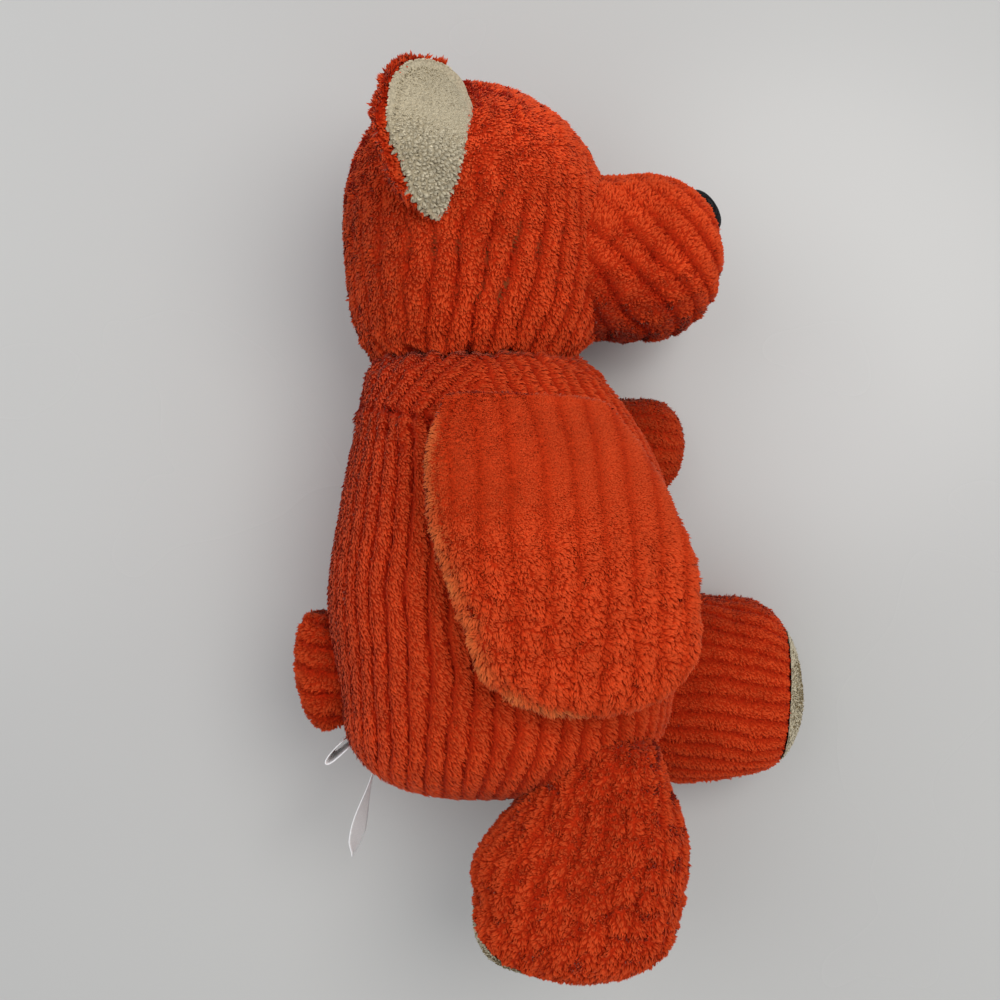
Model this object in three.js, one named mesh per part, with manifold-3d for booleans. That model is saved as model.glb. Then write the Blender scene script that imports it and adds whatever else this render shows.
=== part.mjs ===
// Teddy bear of wide-wale corduroy plush, lying on its left side. Millimetres.
// +X is the way the face points, +Y runs from the feet to the head, +Z is up, towards the bear's right side.
// The origin is on the floor, in the middle of the flat patch that the body rests on.

import * as THREE from 'three';
import { mergeVertices } from 'three/addons/utils/BufferGeometryUtils.js';
import Module from 'manifold-3d';

const wasm = await Module();
wasm.setup();

// Cloth and clearances
const CLOTH = 2.5;
const GAP = 0.3;
const MIDPLANE = 56;
const FLOOR_CUT = 0.5;

// Body: each section gives its place along the form and how far it reaches to the back, front and both sides
const BODY_HALF_WIDTH = MIDPLANE + FLOOR_CUT;
const BODY = {
  sections: [
    { at: -36, back: 57, front: 62, low: 54, high: 54 },
    { at: 0, back: 62.3, front: 69, low: BODY_HALF_WIDTH, high: BODY_HALF_WIDTH },
    { at: 36, back: 57.6, front: 61.6, low: 54.5, high: 54.5 },
    { at: 60, back: 53, front: 51.5, low: 49.5, high: 49.5 },
    { at: 90, back: 47.5, front: 30, low: 37, high: 37 },
  ],
  startCap: 34.3,
  startDrift: -10,
  endCap: 0,
  endDrift: 0,
  fullness: 2.2,
};

// Neck: the seam where head and body meet, with room to nod
const NECK_AT = 86;
const NECK_BACK = 9;
const NECK_RELIEF = 6.2;

// Head
const HEAD = {
  sections: [
    { at: 80, back: 46, front: 25, low: 34, high: 34 },
    { at: 103, back: 54, front: 38, low: 46.5, high: 46.5 },
    { at: 133, back: 57, front: 40, low: 50.4, high: 50.4 },
  ],
  startCap: 0,
  startDrift: 0,
  endCap: 52.4,
  endDrift: -5,
  fullness: 2.1,
};

// Muzzle: it reaches forward, its back is the bear's brow side and its front the chin side
const MUZZLE_AT = 123;
const MUZZLE = {
  sections: [
    { at: 22, back: 28.5, front: 29, low: 33, high: 33 },
    { at: 50, back: 30.2, front: 30, low: 32.5, high: 32.5 },
  ],
  startCap: 0,
  startDrift: 0,
  endCap: 30.5,
  endDrift: 0,
  fullness: 2.2,
};

// Nose and eyes
const NOSE_HALF_WIDTH = 12;
const NOSE_HALF_HEIGHT = 8.5;
const NOSE_HALF_DEPTH = 3.4;
const NOSE_SLOPE = 36;
const EYE_HALF_WIDTH = 3;
const EYE_HALF_HEIGHT = 3.4;
const EYE_HALF_DEPTH = 1.2;
const EYE_AT = 158;
const EYE_SPREAD = 11;
const EYE_SLOPE = 25;

// Ears: two layers each, cupped on the free ear and pressed flat on the one that the head lies on
const EAR_INNER = {
  sections: [
    { at: -16, back: 14.5, front: 4 },
    { at: -6, back: 26, front: 4 },
    { at: 8, back: 30, front: 3 },
  ],
  startCap: 6,
  startDrift: 5,
  endCap: 20,
  endDrift: 5,
  fullness: 2.1,
  flatFace: true,
};
const EAR_OUTER = {
  ...EAR_INNER,
  sections: [
    { at: -16, back: 23, front: 4 },
    { at: -6, back: 31.5, front: 4 },
    { at: 8, back: 32.6, front: 3 },
  ],
};
const EAR_LAYER = 2.9;
const EAR_OUTER_LAYER = 5;
const EAR_LIFT = 6;
const EAR_LIFT_LENGTH = 24;
const EAR_LIFT_REACH = 36;
const EAR_RISE = 44;
const EAR_BEND = 22;
const EAR_SINK = 1;
const EAR_LOW = { back: 22, at: 128 };
const EAR_HIGH = { back: 12, at: 168 };
const FOLDED_EAR = { back: 14, at: 148 };
const FOLDED_EAR_OPEN = 30;

// Arms: the free one is a flat paddle along the side, the other lies folded forward under the chest
const SHOULDER_AT = 70;
const SHOULDER_FRONT = 8;
const SHOULDER_SINK = 1.5;
const ARM_SLOPE = 8;
const ARM_ROLL = 13.5;
const ARM_LIFT = 85;
const ARM = {
  sections: [
    { at: 0, back: 28, front: 28, low: 0.5, high: 7 },
    { at: 24, back: 42, front: 35, low: 1, high: 19 },
    { at: 52, back: 52.5, front: 31.5, low: 1.5, high: 25.5 },
    { at: 76, back: 55, front: 21.5, low: 1.5, high: 23.5 },
  ],
  startCap: 0,
  startDrift: 0,
  endCap: 27,
  endDrift: 0,
  fullness: 2.2,
};
const FOLDED_ARM_AT = 60;
const FOLDED_ARM_HALF = 17.5;
const FOLDED_ARM_HEIGHT = FOLDED_ARM_HALF - FLOOR_CUT;
const FOLDED_ARM_TURN = -4;
const FOLDED_ARM_SWING_DOWN = 12;
const FOLDED_ARM_SWING_UP = 15;
const FOLDED_ARM = {
  sections: [
    { at: 0, back: 13, front: 13, low: 15, high: 2 },
    { at: 26, back: 18, front: 17, low: 17, high: 12 },
    { at: 48, back: 20, front: 19, low: FOLDED_ARM_HALF, high: FOLDED_ARM_HALF },
  ],
  startCap: 0,
  startDrift: 0,
  endCap: 17,
  endDrift: 0,
  fullness: 2.2,
};
const FOLDED_ARM_SLOT = 12;
const ROOT_SLOT_WIDTH = 14;
const ROOT_SLOT_HALF = 1.2;
const ROOT_SLOT_LENGTH = 24;

// Legs: each swells from the hip to the foot, and a domed pad closes the foot
const RIGHT_HIP_AT = -53;
const LEFT_HIP_AT = -46;
const HIP_FRONT = 38.5;
const LEG_HALF_WIDTH = 28;
const HIP_SPREAD = MIDPLANE + FLOOR_CUT - LEG_HALF_WIDTH;
const LEG = {
  sections: [
    { at: -4, back: 16, front: 18, low: 19, high: 19 },
    { at: 22, back: 29, front: 33, low: 25, high: 25 },
    { at: 40, back: 30.5, front: 42, low: LEG_HALF_WIDTH, high: LEG_HALF_WIDTH },
    { at: 52, back: 29.5, front: 40, low: LEG_HALF_WIDTH, high: LEG_HALF_WIDTH },
  ],
  startCap: 0,
  startDrift: 0,
  endCap: 22,
  endDrift: 9,
  fullness: 2.3,
};
const LEFT_LEG_CAP = 26.5;
const RIGHT_SOLE_AT = 65;
const LEFT_SOLE_AT = 70.5;
const RIGHT_LEG_TURN = -99;
const RIGHT_SOLE_TURN = 24;
const RIGHT_SOLE_TILT = -30;
const RIGHT_LEG_BACK = 8;
const RIGHT_LEG_FORWARD = 75;
const LEFT_LEG_TURN = 6;
const LEFT_LEG_DOWN = 95;

// Tail and labels
const TAIL_AT = -26;
const TAIL_SINK = 1;
const TAIL_BEND = 15;
const TAIL = {
  sections: [
    { at: -7, back: 17.5, front: 18, low: 12, high: 12 },
    { at: 4, back: 21.5, front: 22.5, low: 15, high: 15 },
  ],
  startCap: 0,
  startDrift: 0,
  endCap: 12.5,
  endDrift: 5,
  fullness: 2.4,
};
const SHORT_LABEL = { length: 12, width: 20, thick: 1.2, at: -50.5, turn: -139, height: 2 };
const LONG_LABEL = { length: 31, width: 18, thick: 0.6, at: -61.5, turn: -98, height: -3 };

// How finely each form is faceted, as rings along it and points round it
const BODY_FACETS = { rings: 9, capRings: 5, points: 28 };
const HEAD_FACETS = { rings: 5, capRings: 7, points: 28 };
const LIMB_FACETS = { rings: 6, capRings: 5, points: 22 };
const SMALL_FACETS = { rings: 3, capRings: 4, points: 16 };
const INNER_FACETS = { rings: 5, capRings: 4, points: 14 };
const SWEEP_STEP = 10;
const SAME_CORNER = 0.002;

const cord = () => new THREE.MeshStandardMaterial({ color: '#c8401f', roughness: 1, metalness: 0 });
const cream = () => new THREE.MeshStandardMaterial({ color: '#cbc1a8', roughness: 1, metalness: 0 });
const black = () => new THREE.MeshStandardMaterial({ color: '#1d1f20', roughness: 0.8, metalness: 0 });
const white = () => new THREE.MeshStandardMaterial({ color: '#f1efe9', roughness: 0.6, metalness: 0 });
const fibre = () => new THREE.MeshStandardMaterial({ color: '#f6f5f0', roughness: 1, metalness: 0 });

const REACHES = ['back', 'front', 'low', 'high'];
const UP = new THREE.Vector3(0, 0, 1);
const degrees = THREE.MathUtils.degToRad;

// The middle of a span that reaches one way and the other from a form's own axis, and half its width
function middleAndHalf(backward, forward) {
  return { middle: (forward - backward) / 2, half: (forward + backward) / 2 };
}

// The smooth course of one reach between the listed sections, as a cubic with matched slopes
function reachBetween(sections, at, reach) {
  const last = sections.length - 1;
  const slope = (i) => {
    const before = sections[Math.max(i - 1, 0)];
    const after = sections[Math.min(i + 1, last)];
    return (after[reach] - before[reach]) / (after.at - before.at);
  };
  let i = 0;
  while (i < last - 1 && sections[i + 1].at < at) i += 1;
  const span = sections[i + 1].at - sections[i].at;
  const t = (at - sections[i].at) / span;
  const start = sections[i][reach] * (2 * t ** 3 - 3 * t ** 2 + 1) + slope(i) * span * (t ** 3 - 2 * t ** 2 + t);
  const end = sections[i + 1][reach] * (3 * t ** 2 - 2 * t ** 3) + slope(i + 1) * span * (t ** 3 - t ** 2);
  return start + end;
}

// A form's section at a distance along it. Past its end sections a form closes with a round cap, whose middle
// drifts sideways towards the tip.
function sectionAt(form, at, grow = 0) {
  const first = form.sections[0];
  const last = form.sections[form.sections.length - 1];
  const inside = THREE.MathUtils.clamp(at, first.at, last.at);
  const section = {};
  REACHES.forEach((reach) => {
    section[reach] = reachBetween(form.sections, inside, reach) + grow;
  });
  if (at === inside) return section;
  const [end, cap, drift] = at < first.at
    ? [first, form.startCap, form.startDrift]
    : [last, form.endCap, form.endDrift];
  if (cap === 0) return section;
  const out = Math.min(Math.abs(at - end.at) / (cap + grow), 1);
  const width = (1 - out ** form.fullness) ** (1 / form.fullness);
  const across = middleAndHalf(section.back, section.front);
  const shifted = across.middle + drift * out ** 2;
  const upright = form.flatFace ? { middle: 0 } : middleAndHalf(section.low, section.high);
  return {
    back: across.half * width - shifted,
    front: across.half * width + shifted,
    low: (section.low + upright.middle) * width - upright.middle,
    high: (section.high - upright.middle) * width + upright.middle,
  };
}

// Where the rings of a form lie along it: evenly between its end sections and closer together towards a tip
function ringPlaces(form, grow, { rings, capRings }) {
  const first = form.sections[0].at;
  const last = form.sections[form.sections.length - 1].at;
  const places = [];
  for (let i = capRings - 1; i > 0 && form.startCap > 0; i -= 1) {
    places.push(first - (form.startCap + grow) * Math.sin((i / capRings) * (Math.PI / 2)));
  }
  if (form.startCap === 0) places.push(first - Math.max(Math.abs(grow), GAP));
  for (let i = 0; i <= rings; i += 1) places.push(first + ((last - first) * i) / rings);
  for (let i = 1; i < capRings && form.endCap > 0; i += 1) {
    places.push(last + (form.endCap + grow) * Math.sin((i / capRings) * (Math.PI / 2)));
  }
  if (form.endCap === 0) places.push(last + Math.max(Math.abs(grow), GAP));
  return places;
}

// A stuffed form: rounded sections joined along +Y. Back is -X, front is +X, low is -Z and high is +Z.
function softForm(form, grow, facets) {
  const { points } = facets;
  const power = 2 / form.fullness;
  const rounded = (value) => Math.sign(value) * Math.abs(value) ** power;
  const positions = [];
  const places = ringPlaces(form, grow, facets);
  places.forEach((at) => {
    const { back, front, low, high } = sectionAt(form, at, grow);
    const across = middleAndHalf(back, front);
    const upright = middleAndHalf(low, high);
    for (let j = 0; j < points; j += 1) {
      const angle = (j / points) * Math.PI * 2;
      const side = rounded(Math.sin(angle));
      const height = form.flatFace ? side * (side > 0 ? high : low) : upright.middle + upright.half * side;
      positions.push(across.middle + across.half * rounded(Math.cos(angle)), at, height);
    }
  });
  const tip = (at, cap, drift, end) => {
    const { back, front, low, high } = sectionAt(form, end, grow);
    const height = form.flatFace ? 0 : middleAndHalf(low, high).middle;
    positions.push(middleAndHalf(back, front).middle + (cap > 0 ? drift : 0), at, height);
  };
  const first = form.sections[0].at;
  const last = form.sections[form.sections.length - 1].at;
  tip(form.startCap > 0 ? first - form.startCap - grow : places[0], form.startCap, form.startDrift, first);
  const lastPlace = places[places.length - 1];
  tip(form.endCap > 0 ? last + form.endCap + grow : lastPlace, form.endCap, form.endDrift, last);
  const faces = [];
  const startTip = places.length * points;
  for (let j = 0; j < points; j += 1) {
    const next = (j + 1) % points;
    for (let i = 0; i < places.length - 1; i += 1) {
      const [a, b] = [i * points + j, i * points + next];
      faces.push(a, a + points, b, b, a + points, b + points);
    }
    const top = (places.length - 1) * points;
    faces.push(startTip, j, next, startTip + 1, top + next, top + j);
  }
  const geometry = new THREE.BufferGeometry();
  geometry.setAttribute('position', new THREE.Float32BufferAttribute(positions, 3));
  geometry.setIndex(faces);
  return geometry;
}

function solidOf(geometry) {
  const bare = geometry.clone();
  bare.deleteAttribute('normal');
  bare.deleteAttribute('uv');
  const merged = mergeVertices(bare, 1e-5);
  return new wasm.Manifold(new wasm.Mesh({
    numProp: 3,
    vertProperties: new Float32Array(merged.attributes.position.array),
    triVerts: new Uint32Array(merged.index.array),
  }));
}

// A cut leaves some corners almost on top of each other: they become one, and the faces between them go
function meshOf(name, solid, material) {
  const { vertProperties, triVerts } = solid.getMesh();
  const cut = new THREE.BufferGeometry();
  cut.setAttribute('position', new THREE.BufferAttribute(vertProperties, 3));
  cut.setIndex(new THREE.BufferAttribute(triVerts, 1));
  const geometry = mergeVertices(cut, SAME_CORNER);
  const corners = Array.from(geometry.index.array);
  const kept = [];
  for (let i = 0; i < corners.length; i += 3) {
    const [a, b, c] = corners.slice(i, i + 3);
    if (a !== b && b !== c && c !== a) kept.push(a, b, c);
  }
  geometry.setIndex(kept);
  geometry.computeVertexNormals();
  const mesh = new THREE.Mesh(geometry, material);
  mesh.name = name;
  return mesh;
}

// A pose that lays a form's own +Y along a direction, with its +Z as near as it can be to another
function poseOf(origin, along, face) {
  const y = along.clone().normalize();
  const x = y.clone().cross(face).normalize();
  const z = x.clone().cross(y);
  return new THREE.Matrix4().makeBasis(x, y, z).setPosition(origin);
}

function flatTurn(angle) {
  return new THREE.Vector3(Math.cos(degrees(angle)), Math.sin(degrees(angle)), 0);
}

// Everything on the far side of a plane through a point, as a block to cut with
function beyond(point, normal) {
  const size = 600;
  const block = new THREE.BoxGeometry(size, size, size).translate(0, 0, size / 2);
  const turn = new THREE.Quaternion().setFromUnitVectors(UP, normal.clone().normalize());
  block.applyQuaternion(turn).translate(point.x, point.y, point.z);
  return solidOf(block);
}

const belowFloor = () => beyond(new THREE.Vector3(0, 0, 0), new THREE.Vector3(0, 0, -1));

// A moving piece clears its larger neighbour through its whole range: the neighbour is cut from it where it lies
// and where it would lie, seen from the piece, as the piece turns
function clearOf(solid, neighbour, hinge) {
  let left = solid;
  const steps = Math.max(1, Math.ceil((hinge.most - hinge.least) / SWEEP_STEP));
  for (let i = 0; i <= steps; i += 1) {
    const angle = hinge.least + ((hinge.most - hinge.least) * i) / steps;
    const turned = neighbour.clone().translate(-hinge.point.x, -hinge.point.y, -hinge.point.z);
    turned.applyQuaternion(new THREE.Quaternion().setFromAxisAngle(hinge.axis, degrees(-angle)));
    turned.translate(hinge.point.x, hinge.point.y, hinge.point.z);
    left = left.subtract(solidOf(turned));
  }
  return left;
}

// The body's and head's own places
const onMidplane = new THREE.Matrix4().makeTranslation(0, 0, MIDPLANE);
const bodyForm = (grow, facets) => softForm(BODY, grow, facets).applyMatrix4(onMidplane);
const headForm = (grow, facets) => softForm(HEAD, grow, facets).applyMatrix4(onMidplane);

// Head and body part at the neck along two shallow slopes, so that the head can nod
function cutAtNeck(solid, side, clearance) {
  const ridge = new THREE.Vector3(-NECK_BACK, NECK_AT + side * clearance, 0);
  const forward = flatTurn(-90 * side + NECK_RELIEF);
  const backward = flatTurn(-90 * side - NECK_RELIEF);
  return solid.subtract(beyond(ridge, forward)).subtract(beyond(ridge, backward));
}

function buildBody() {
  const skin = solidOf(bodyForm(0, BODY_FACETS)).subtract(belowFloor()).subtract(solidOf(bodyForm(-CLOTH, INNER_FACETS)));
  const filling = solidOf(bodyForm(-CLOTH - GAP, INNER_FACETS));
  return [
    meshOf('body_skin', cutAtNeck(skin, -1, GAP / 2), cord()),
    meshOf('body_stuffing', cutAtNeck(filling, -1, GAP), fibre()),
  ];
}

function buildHead() {
  const skin = solidOf(headForm(0, HEAD_FACETS)).subtract(solidOf(headForm(-CLOTH, INNER_FACETS)));
  const filling = solidOf(headForm(-CLOTH - GAP, INNER_FACETS));
  return [
    meshOf('head_skin', cutAtNeck(skin, 1, GAP / 2), cord()),
    meshOf('head_stuffing', cutAtNeck(filling, 1, GAP), fibre()),
  ];
}

// The muzzle is open where it is sewn to the head
const muzzlePose = poseOf(new THREE.Vector3(0, MUZZLE_AT, MIDPLANE), new THREE.Vector3(1, 0, 0), UP);
const muzzleForm = (grow, facets) => softForm(MUZZLE, grow, facets).applyMatrix4(muzzlePose);

function buildMuzzle() {
  const skin = solidOf(muzzleForm(0, LIMB_FACETS)).subtract(solidOf(muzzleForm(-CLOTH, INNER_FACETS)));
  const filling = solidOf(muzzleForm(-CLOTH - GAP, INNER_FACETS));
  const head = solidOf(headForm(GAP, HEAD_FACETS));
  return [
    meshOf('muzzle_skin', skin.subtract(head), cord()),
    meshOf('muzzle_stuffing', filling.subtract(head), fibre()),
  ];
}

// The nose sits on the upper corner of the muzzle's end
function buildNose() {
  const last = MUZZLE.sections[MUZZLE.sections.length - 1];
  const along = Math.sin(degrees(90 - NOSE_SLOPE)) ** (2 / MUZZLE.fullness);
  const place = last.at + MUZZLE.endCap * along;
  const above = sectionAt(MUZZLE, place).back;
  const nose = new THREE.SphereGeometry(1, 24, 14).scale(NOSE_HALF_DEPTH, NOSE_HALF_HEIGHT, NOSE_HALF_WIDTH);
  nose.rotateZ(degrees(NOSE_SLOPE)).translate(place, MUZZLE_AT + above, MIDPLANE);
  return meshOf('nose', solidOf(nose).subtract(solidOf(muzzleForm(GAP, LIMB_FACETS))), black());
}

// The eyes are small stitched ovals on the head, just above the muzzle and close to the middle
function buildEye(side, name) {
  const { front, high } = sectionAt(HEAD, EYE_AT);
  const inward = 1 - (EYE_SPREAD / high) ** HEAD.fullness;
  const back = sectionAt(HEAD, EYE_AT).back;
  const surface = (front - back) / 2 + ((front + back) / 2) * inward ** (1 / HEAD.fullness);
  const eye = new THREE.SphereGeometry(1, 16, 10).scale(EYE_HALF_DEPTH, EYE_HALF_HEIGHT, EYE_HALF_WIDTH);
  eye.rotateZ(degrees(EYE_SLOPE)).translate(surface, EYE_AT, MIDPLANE + side * EYE_SPREAD);
  return meshOf(name, solidOf(eye).subtract(solidOf(headForm(GAP, HEAD_FACETS))), black());
}

// An ear layer is a drop-shaped pillow with a flat face at its seam. Its +Y runs along the seam that it is sewn
// by, -X out from the head and +Z to the cream side. Near that seam it follows the roundness of the head.
function earLayer(outline, faceSide, thick, lift) {
  const sections = outline.sections.map((section) => ({
    ...section,
    low: faceSide > 0 ? 0 : thick,
    high: faceSide > 0 ? thick : 0,
  }));
  const layer = softForm({ ...outline, sections }, 0, SMALL_FACETS).translate(0, 0, (faceSide * GAP) / 2);
  const points = layer.attributes.position;
  for (let i = 0; i < points.count; i += 1) {
    const along = Math.max(0, 1 - (points.getY(i) / EAR_LIFT_LENGTH) ** 2);
    const outward = -points.getX(i) / EAR_LIFT_REACH;
    points.setZ(i, points.getZ(i) + lift * along * (1 - outward));
  }
  return layer;
}

// A point just under the head's upper side
function underHeadTop({ back, at }) {
  const section = sectionAt(HEAD, at);
  const across = middleAndHalf(section.back, section.front);
  const share = Math.abs((-back - across.middle) / across.half);
  const rise = section.high * (1 - share ** HEAD.fullness) ** (1 / HEAD.fullness);
  return new THREE.Vector3(-back, at, MIDPLANE + rise - EAR_SINK);
}

function mirrored(form) {
  const sections = form.sections.map((section) => ({ ...section, back: section.front, front: section.back }));
  return { ...form, sections, startDrift: -form.startDrift, endDrift: -form.endDrift };
}

// Each ear springs from the side of the head and bends about the line that it is sewn along. The head lies on
// the left one, which can only open away from it.
function buildEar(free, name) {
  const low = free ? underHeadTop(EAR_LOW) : new THREE.Vector3(-FOLDED_EAR.back, 0, EAR_LAYER + GAP / 2);
  const high = free ? underHeadTop(EAR_HIGH) : low.clone().setY(1);
  const seamLine = high.clone().sub(low).normalize();
  const origin = free ? low.clone().lerp(high, 0.5) : low.clone().setY(FOLDED_EAR.at);
  const rise = degrees(free ? EAR_RISE : 0);
  const outward = new THREE.Vector3(-Math.cos(rise), 0, Math.sin(rise));
  const face = seamLine.clone().cross(outward).multiplyScalar(free ? 1 : -1);
  const pose = poseOf(origin, seamLine, face);
  const hinge = free
    ? { point: origin, axis: seamLine, least: -EAR_BEND, most: EAR_BEND }
    : { point: origin, axis: seamLine.clone().negate(), least: 0, most: FOLDED_EAR_OPEN };
  const layers = [
    [EAR_INNER, 1, EAR_LAYER, 'front', cream],
    [EAR_OUTER, -1, free ? EAR_OUTER_LAYER : EAR_LAYER, 'back', cord],
  ];
  return layers.map(([outline, faceSide, thick, layer, material]) => {
    const cloth = earLayer(free ? outline : mirrored(outline), faceSide, thick, free ? EAR_LIFT : 0);
    const cut = clearOf(solidOf(cloth.applyMatrix4(pose)), headForm(GAP, HEAD_FACETS), hinge);
    return meshOf(`ear_${layer}_${name}`, cut.subtract(belowFloor()), material());
  });
}

// The slot through the root of an arm's skin, where it was stuffed before it was sewn to the body
function rootSlot(pose, height) {
  const reach = { back: ROOT_SLOT_WIDTH / 2, front: ROOT_SLOT_WIDTH / 2, low: ROOT_SLOT_HALF, high: ROOT_SLOT_HALF };
  const slot = {
    ...ARM,
    sections: [{ at: -ROOT_SLOT_LENGTH, ...reach }, { at: ROOT_SLOT_LENGTH, ...reach }],
    endCap: 0,
  };
  return solidOf(softForm(slot, 0, SMALL_FACETS).translate(0, 0, height).applyMatrix4(pose));
}

// A hollow limb and its filling, both kept clear of the body as the limb moves
function skinAndFilling(form, pose, hinge, facets) {
  const placed = (grow, detail) => softForm(form, grow, detail).applyMatrix4(pose);
  const hollow = clearOf(solidOf(placed(-CLOTH, INNER_FACETS)), bodyForm(GAP + CLOTH, BODY_FACETS), hinge);
  const outer = clearOf(solidOf(placed(0, facets)), bodyForm(GAP, BODY_FACETS), hinge);
  const filling = clearOf(solidOf(placed(-CLOTH - GAP, INNER_FACETS)), bodyForm(2 * GAP + CLOTH, BODY_FACETS), hinge);
  return { outer: outer.subtract(belowFloor()), hollow, filling };
}

// The free arm hangs flat from a straight seam over the shoulder and lifts about it
function buildFreeArm() {
  const { back, front, high } = sectionAt(BODY, SHOULDER_AT);
  const reach = (SHOULDER_FRONT + (back - front) / 2) / ((back + front) / 2);
  const rise = high * (1 - reach ** BODY.fullness) ** (1 / BODY.fullness);
  const origin = new THREE.Vector3(SHOULDER_FRONT, SHOULDER_AT, MIDPLANE + rise - SHOULDER_SINK);
  const along = new THREE.Vector3(0, -Math.cos(degrees(ARM_SLOPE)), Math.sin(degrees(ARM_SLOPE)));
  const face = new THREE.Vector3(Math.sin(degrees(ARM_ROLL)), 0, Math.cos(degrees(ARM_ROLL)));
  const pose = poseOf(origin, along, face);
  const axis = new THREE.Vector3().setFromMatrixColumn(pose, 0);
  const hinge = { point: origin, axis, least: 0, most: ARM_LIFT };
  const { outer, hollow, filling } = skinAndFilling(ARM, pose, hinge, LIMB_FACETS);
  return [
    meshOf('arm_skin_right', outer.subtract(hollow).subtract(rootSlot(pose, ARM.sections[0].high / 2)), cord()),
    meshOf('arm_stuffing_right', filling, fibre()),
  ];
}

// The other arm lies folded double between the chest and the floor, and points forward
function buildFoldedArm() {
  const origin = new THREE.Vector3(SHOULDER_FRONT, FOLDED_ARM_AT, FOLDED_ARM_HEIGHT);
  const pose = poseOf(origin, flatTurn(FOLDED_ARM_TURN), UP);
  const hinge = { point: origin, axis: UP, least: -FOLDED_ARM_SWING_DOWN, most: FOLDED_ARM_SWING_UP };
  const { outer, hollow, filling } = skinAndFilling(FOLDED_ARM, pose, hinge, LIMB_FACETS);
  return [
    meshOf('arm_skin_left', outer.subtract(hollow).subtract(rootSlot(pose, -FOLDED_ARM_SLOT)), cord()),
    meshOf('arm_stuffing_left', filling, fibre()),
  ];
}

// A leg is the same form on both sides, turned over for the left one. A slanted plane parts the pad from it.
function buildLeg(side, name) {
  const right = side > 0;
  const form = right ? LEG : { ...mirrored(LEG), endDrift: 0, endCap: LEFT_LEG_CAP };
  const turn = right ? RIGHT_LEG_TURN : LEFT_LEG_TURN;
  const origin = new THREE.Vector3(HIP_FRONT, right ? RIGHT_HIP_AT : LEFT_HIP_AT, MIDPLANE + side * HIP_SPREAD);
  const pose = poseOf(origin, flatTurn(turn), UP);
  const hinge = {
    point: origin,
    axis: UP,
    least: right ? -RIGHT_LEG_BACK : -LEFT_LEG_DOWN,
    most: right ? RIGHT_LEG_FORWARD : 0,
  };
  const sole = right ? flatTurn(turn - RIGHT_SOLE_TURN) : flatTurn(turn);
  sole.z = right ? Math.tan(degrees(RIGHT_SOLE_TILT)) : 0;
  sole.normalize();
  const solePoint = origin.clone().addScaledVector(flatTurn(turn), right ? RIGHT_SOLE_AT : LEFT_SOLE_AT);
  const padPoint = solePoint.clone().addScaledVector(sole, GAP);
  const { outer, hollow, filling } = skinAndFilling(form, pose, hinge, LIMB_FACETS);
  const shell = outer.subtract(hollow);
  const pad = shell.intersect(beyond(padPoint, sole));
  return [
    meshOf(`leg_skin_${name}`, shell.subtract(beyond(solePoint, sole)), cord()),
    meshOf(`leg_stuffing_${name}`, filling, fibre()),
    meshOf(`foot_pad_${name}`, pad, cream()),
  ];
}

function buildTail() {
  const { back } = sectionAt(BODY, TAIL_AT);
  const origin = new THREE.Vector3(-back + TAIL_SINK, TAIL_AT, MIDPLANE);
  const pose = poseOf(origin, new THREE.Vector3(-1, 0, 0), UP);
  const hinge = { point: origin, axis: UP, least: -TAIL_BEND, most: TAIL_BEND };
  const placed = (grow, detail) => solidOf(softForm(TAIL, grow, detail).applyMatrix4(pose));
  const root = (solid, clearance) => clearOf(solid, bodyForm(clearance, BODY_FACETS), hinge);
  return [
    meshOf('tail_skin', root(placed(0, SMALL_FACETS).subtract(placed(-CLOTH, INNER_FACETS)), GAP), cord()),
    meshOf('tail_stuffing', root(placed(-CLOTH - GAP, INNER_FACETS), 2 * GAP), fibre()),
  ];
}

// A label is a strip of satin caught in the rear seam
function buildLabel(label, name) {
  const { back } = sectionAt(BODY, label.at);
  const strip = new THREE.BoxGeometry(label.length, label.thick, label.width);
  const start = flatTurn(label.turn).multiplyScalar(label.length / 2 + GAP);
  strip.rotateZ(degrees(label.turn));
  strip.translate(-back + start.x, label.at + start.y, MIDPLANE + label.height);
  return meshOf(name, solidOf(strip).subtract(solidOf(bodyForm(GAP, BODY_FACETS))), white());
}

const bear = new THREE.Group();
bear.add(...buildBody(), ...buildHead(), ...buildMuzzle(), buildNose());
bear.add(buildEye(1, 'eye_right'), buildEye(-1, 'eye_left'));
bear.add(...buildEar(true, 'right'), ...buildEar(false, 'left'));
bear.add(...buildFreeArm(), ...buildFoldedArm());
bear.add(...buildLeg(1, 'right'), ...buildLeg(-1, 'left'));
bear.add(...buildTail());
bear.add(buildLabel(SHORT_LABEL, 'label_folded'), buildLabel(LONG_LABEL, 'label_long'));

export default bear;
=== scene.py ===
# Looks of a corduroy plush teddy bear lying on its left side.
# The forms are worked out in millimetres, in the frame of the CAD model, and made in metres.

import math

import bpy
import numpy as np
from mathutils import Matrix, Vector
from mathutils.bvhtree import BVHTree
from mathutils.kdtree import KDTree


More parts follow.
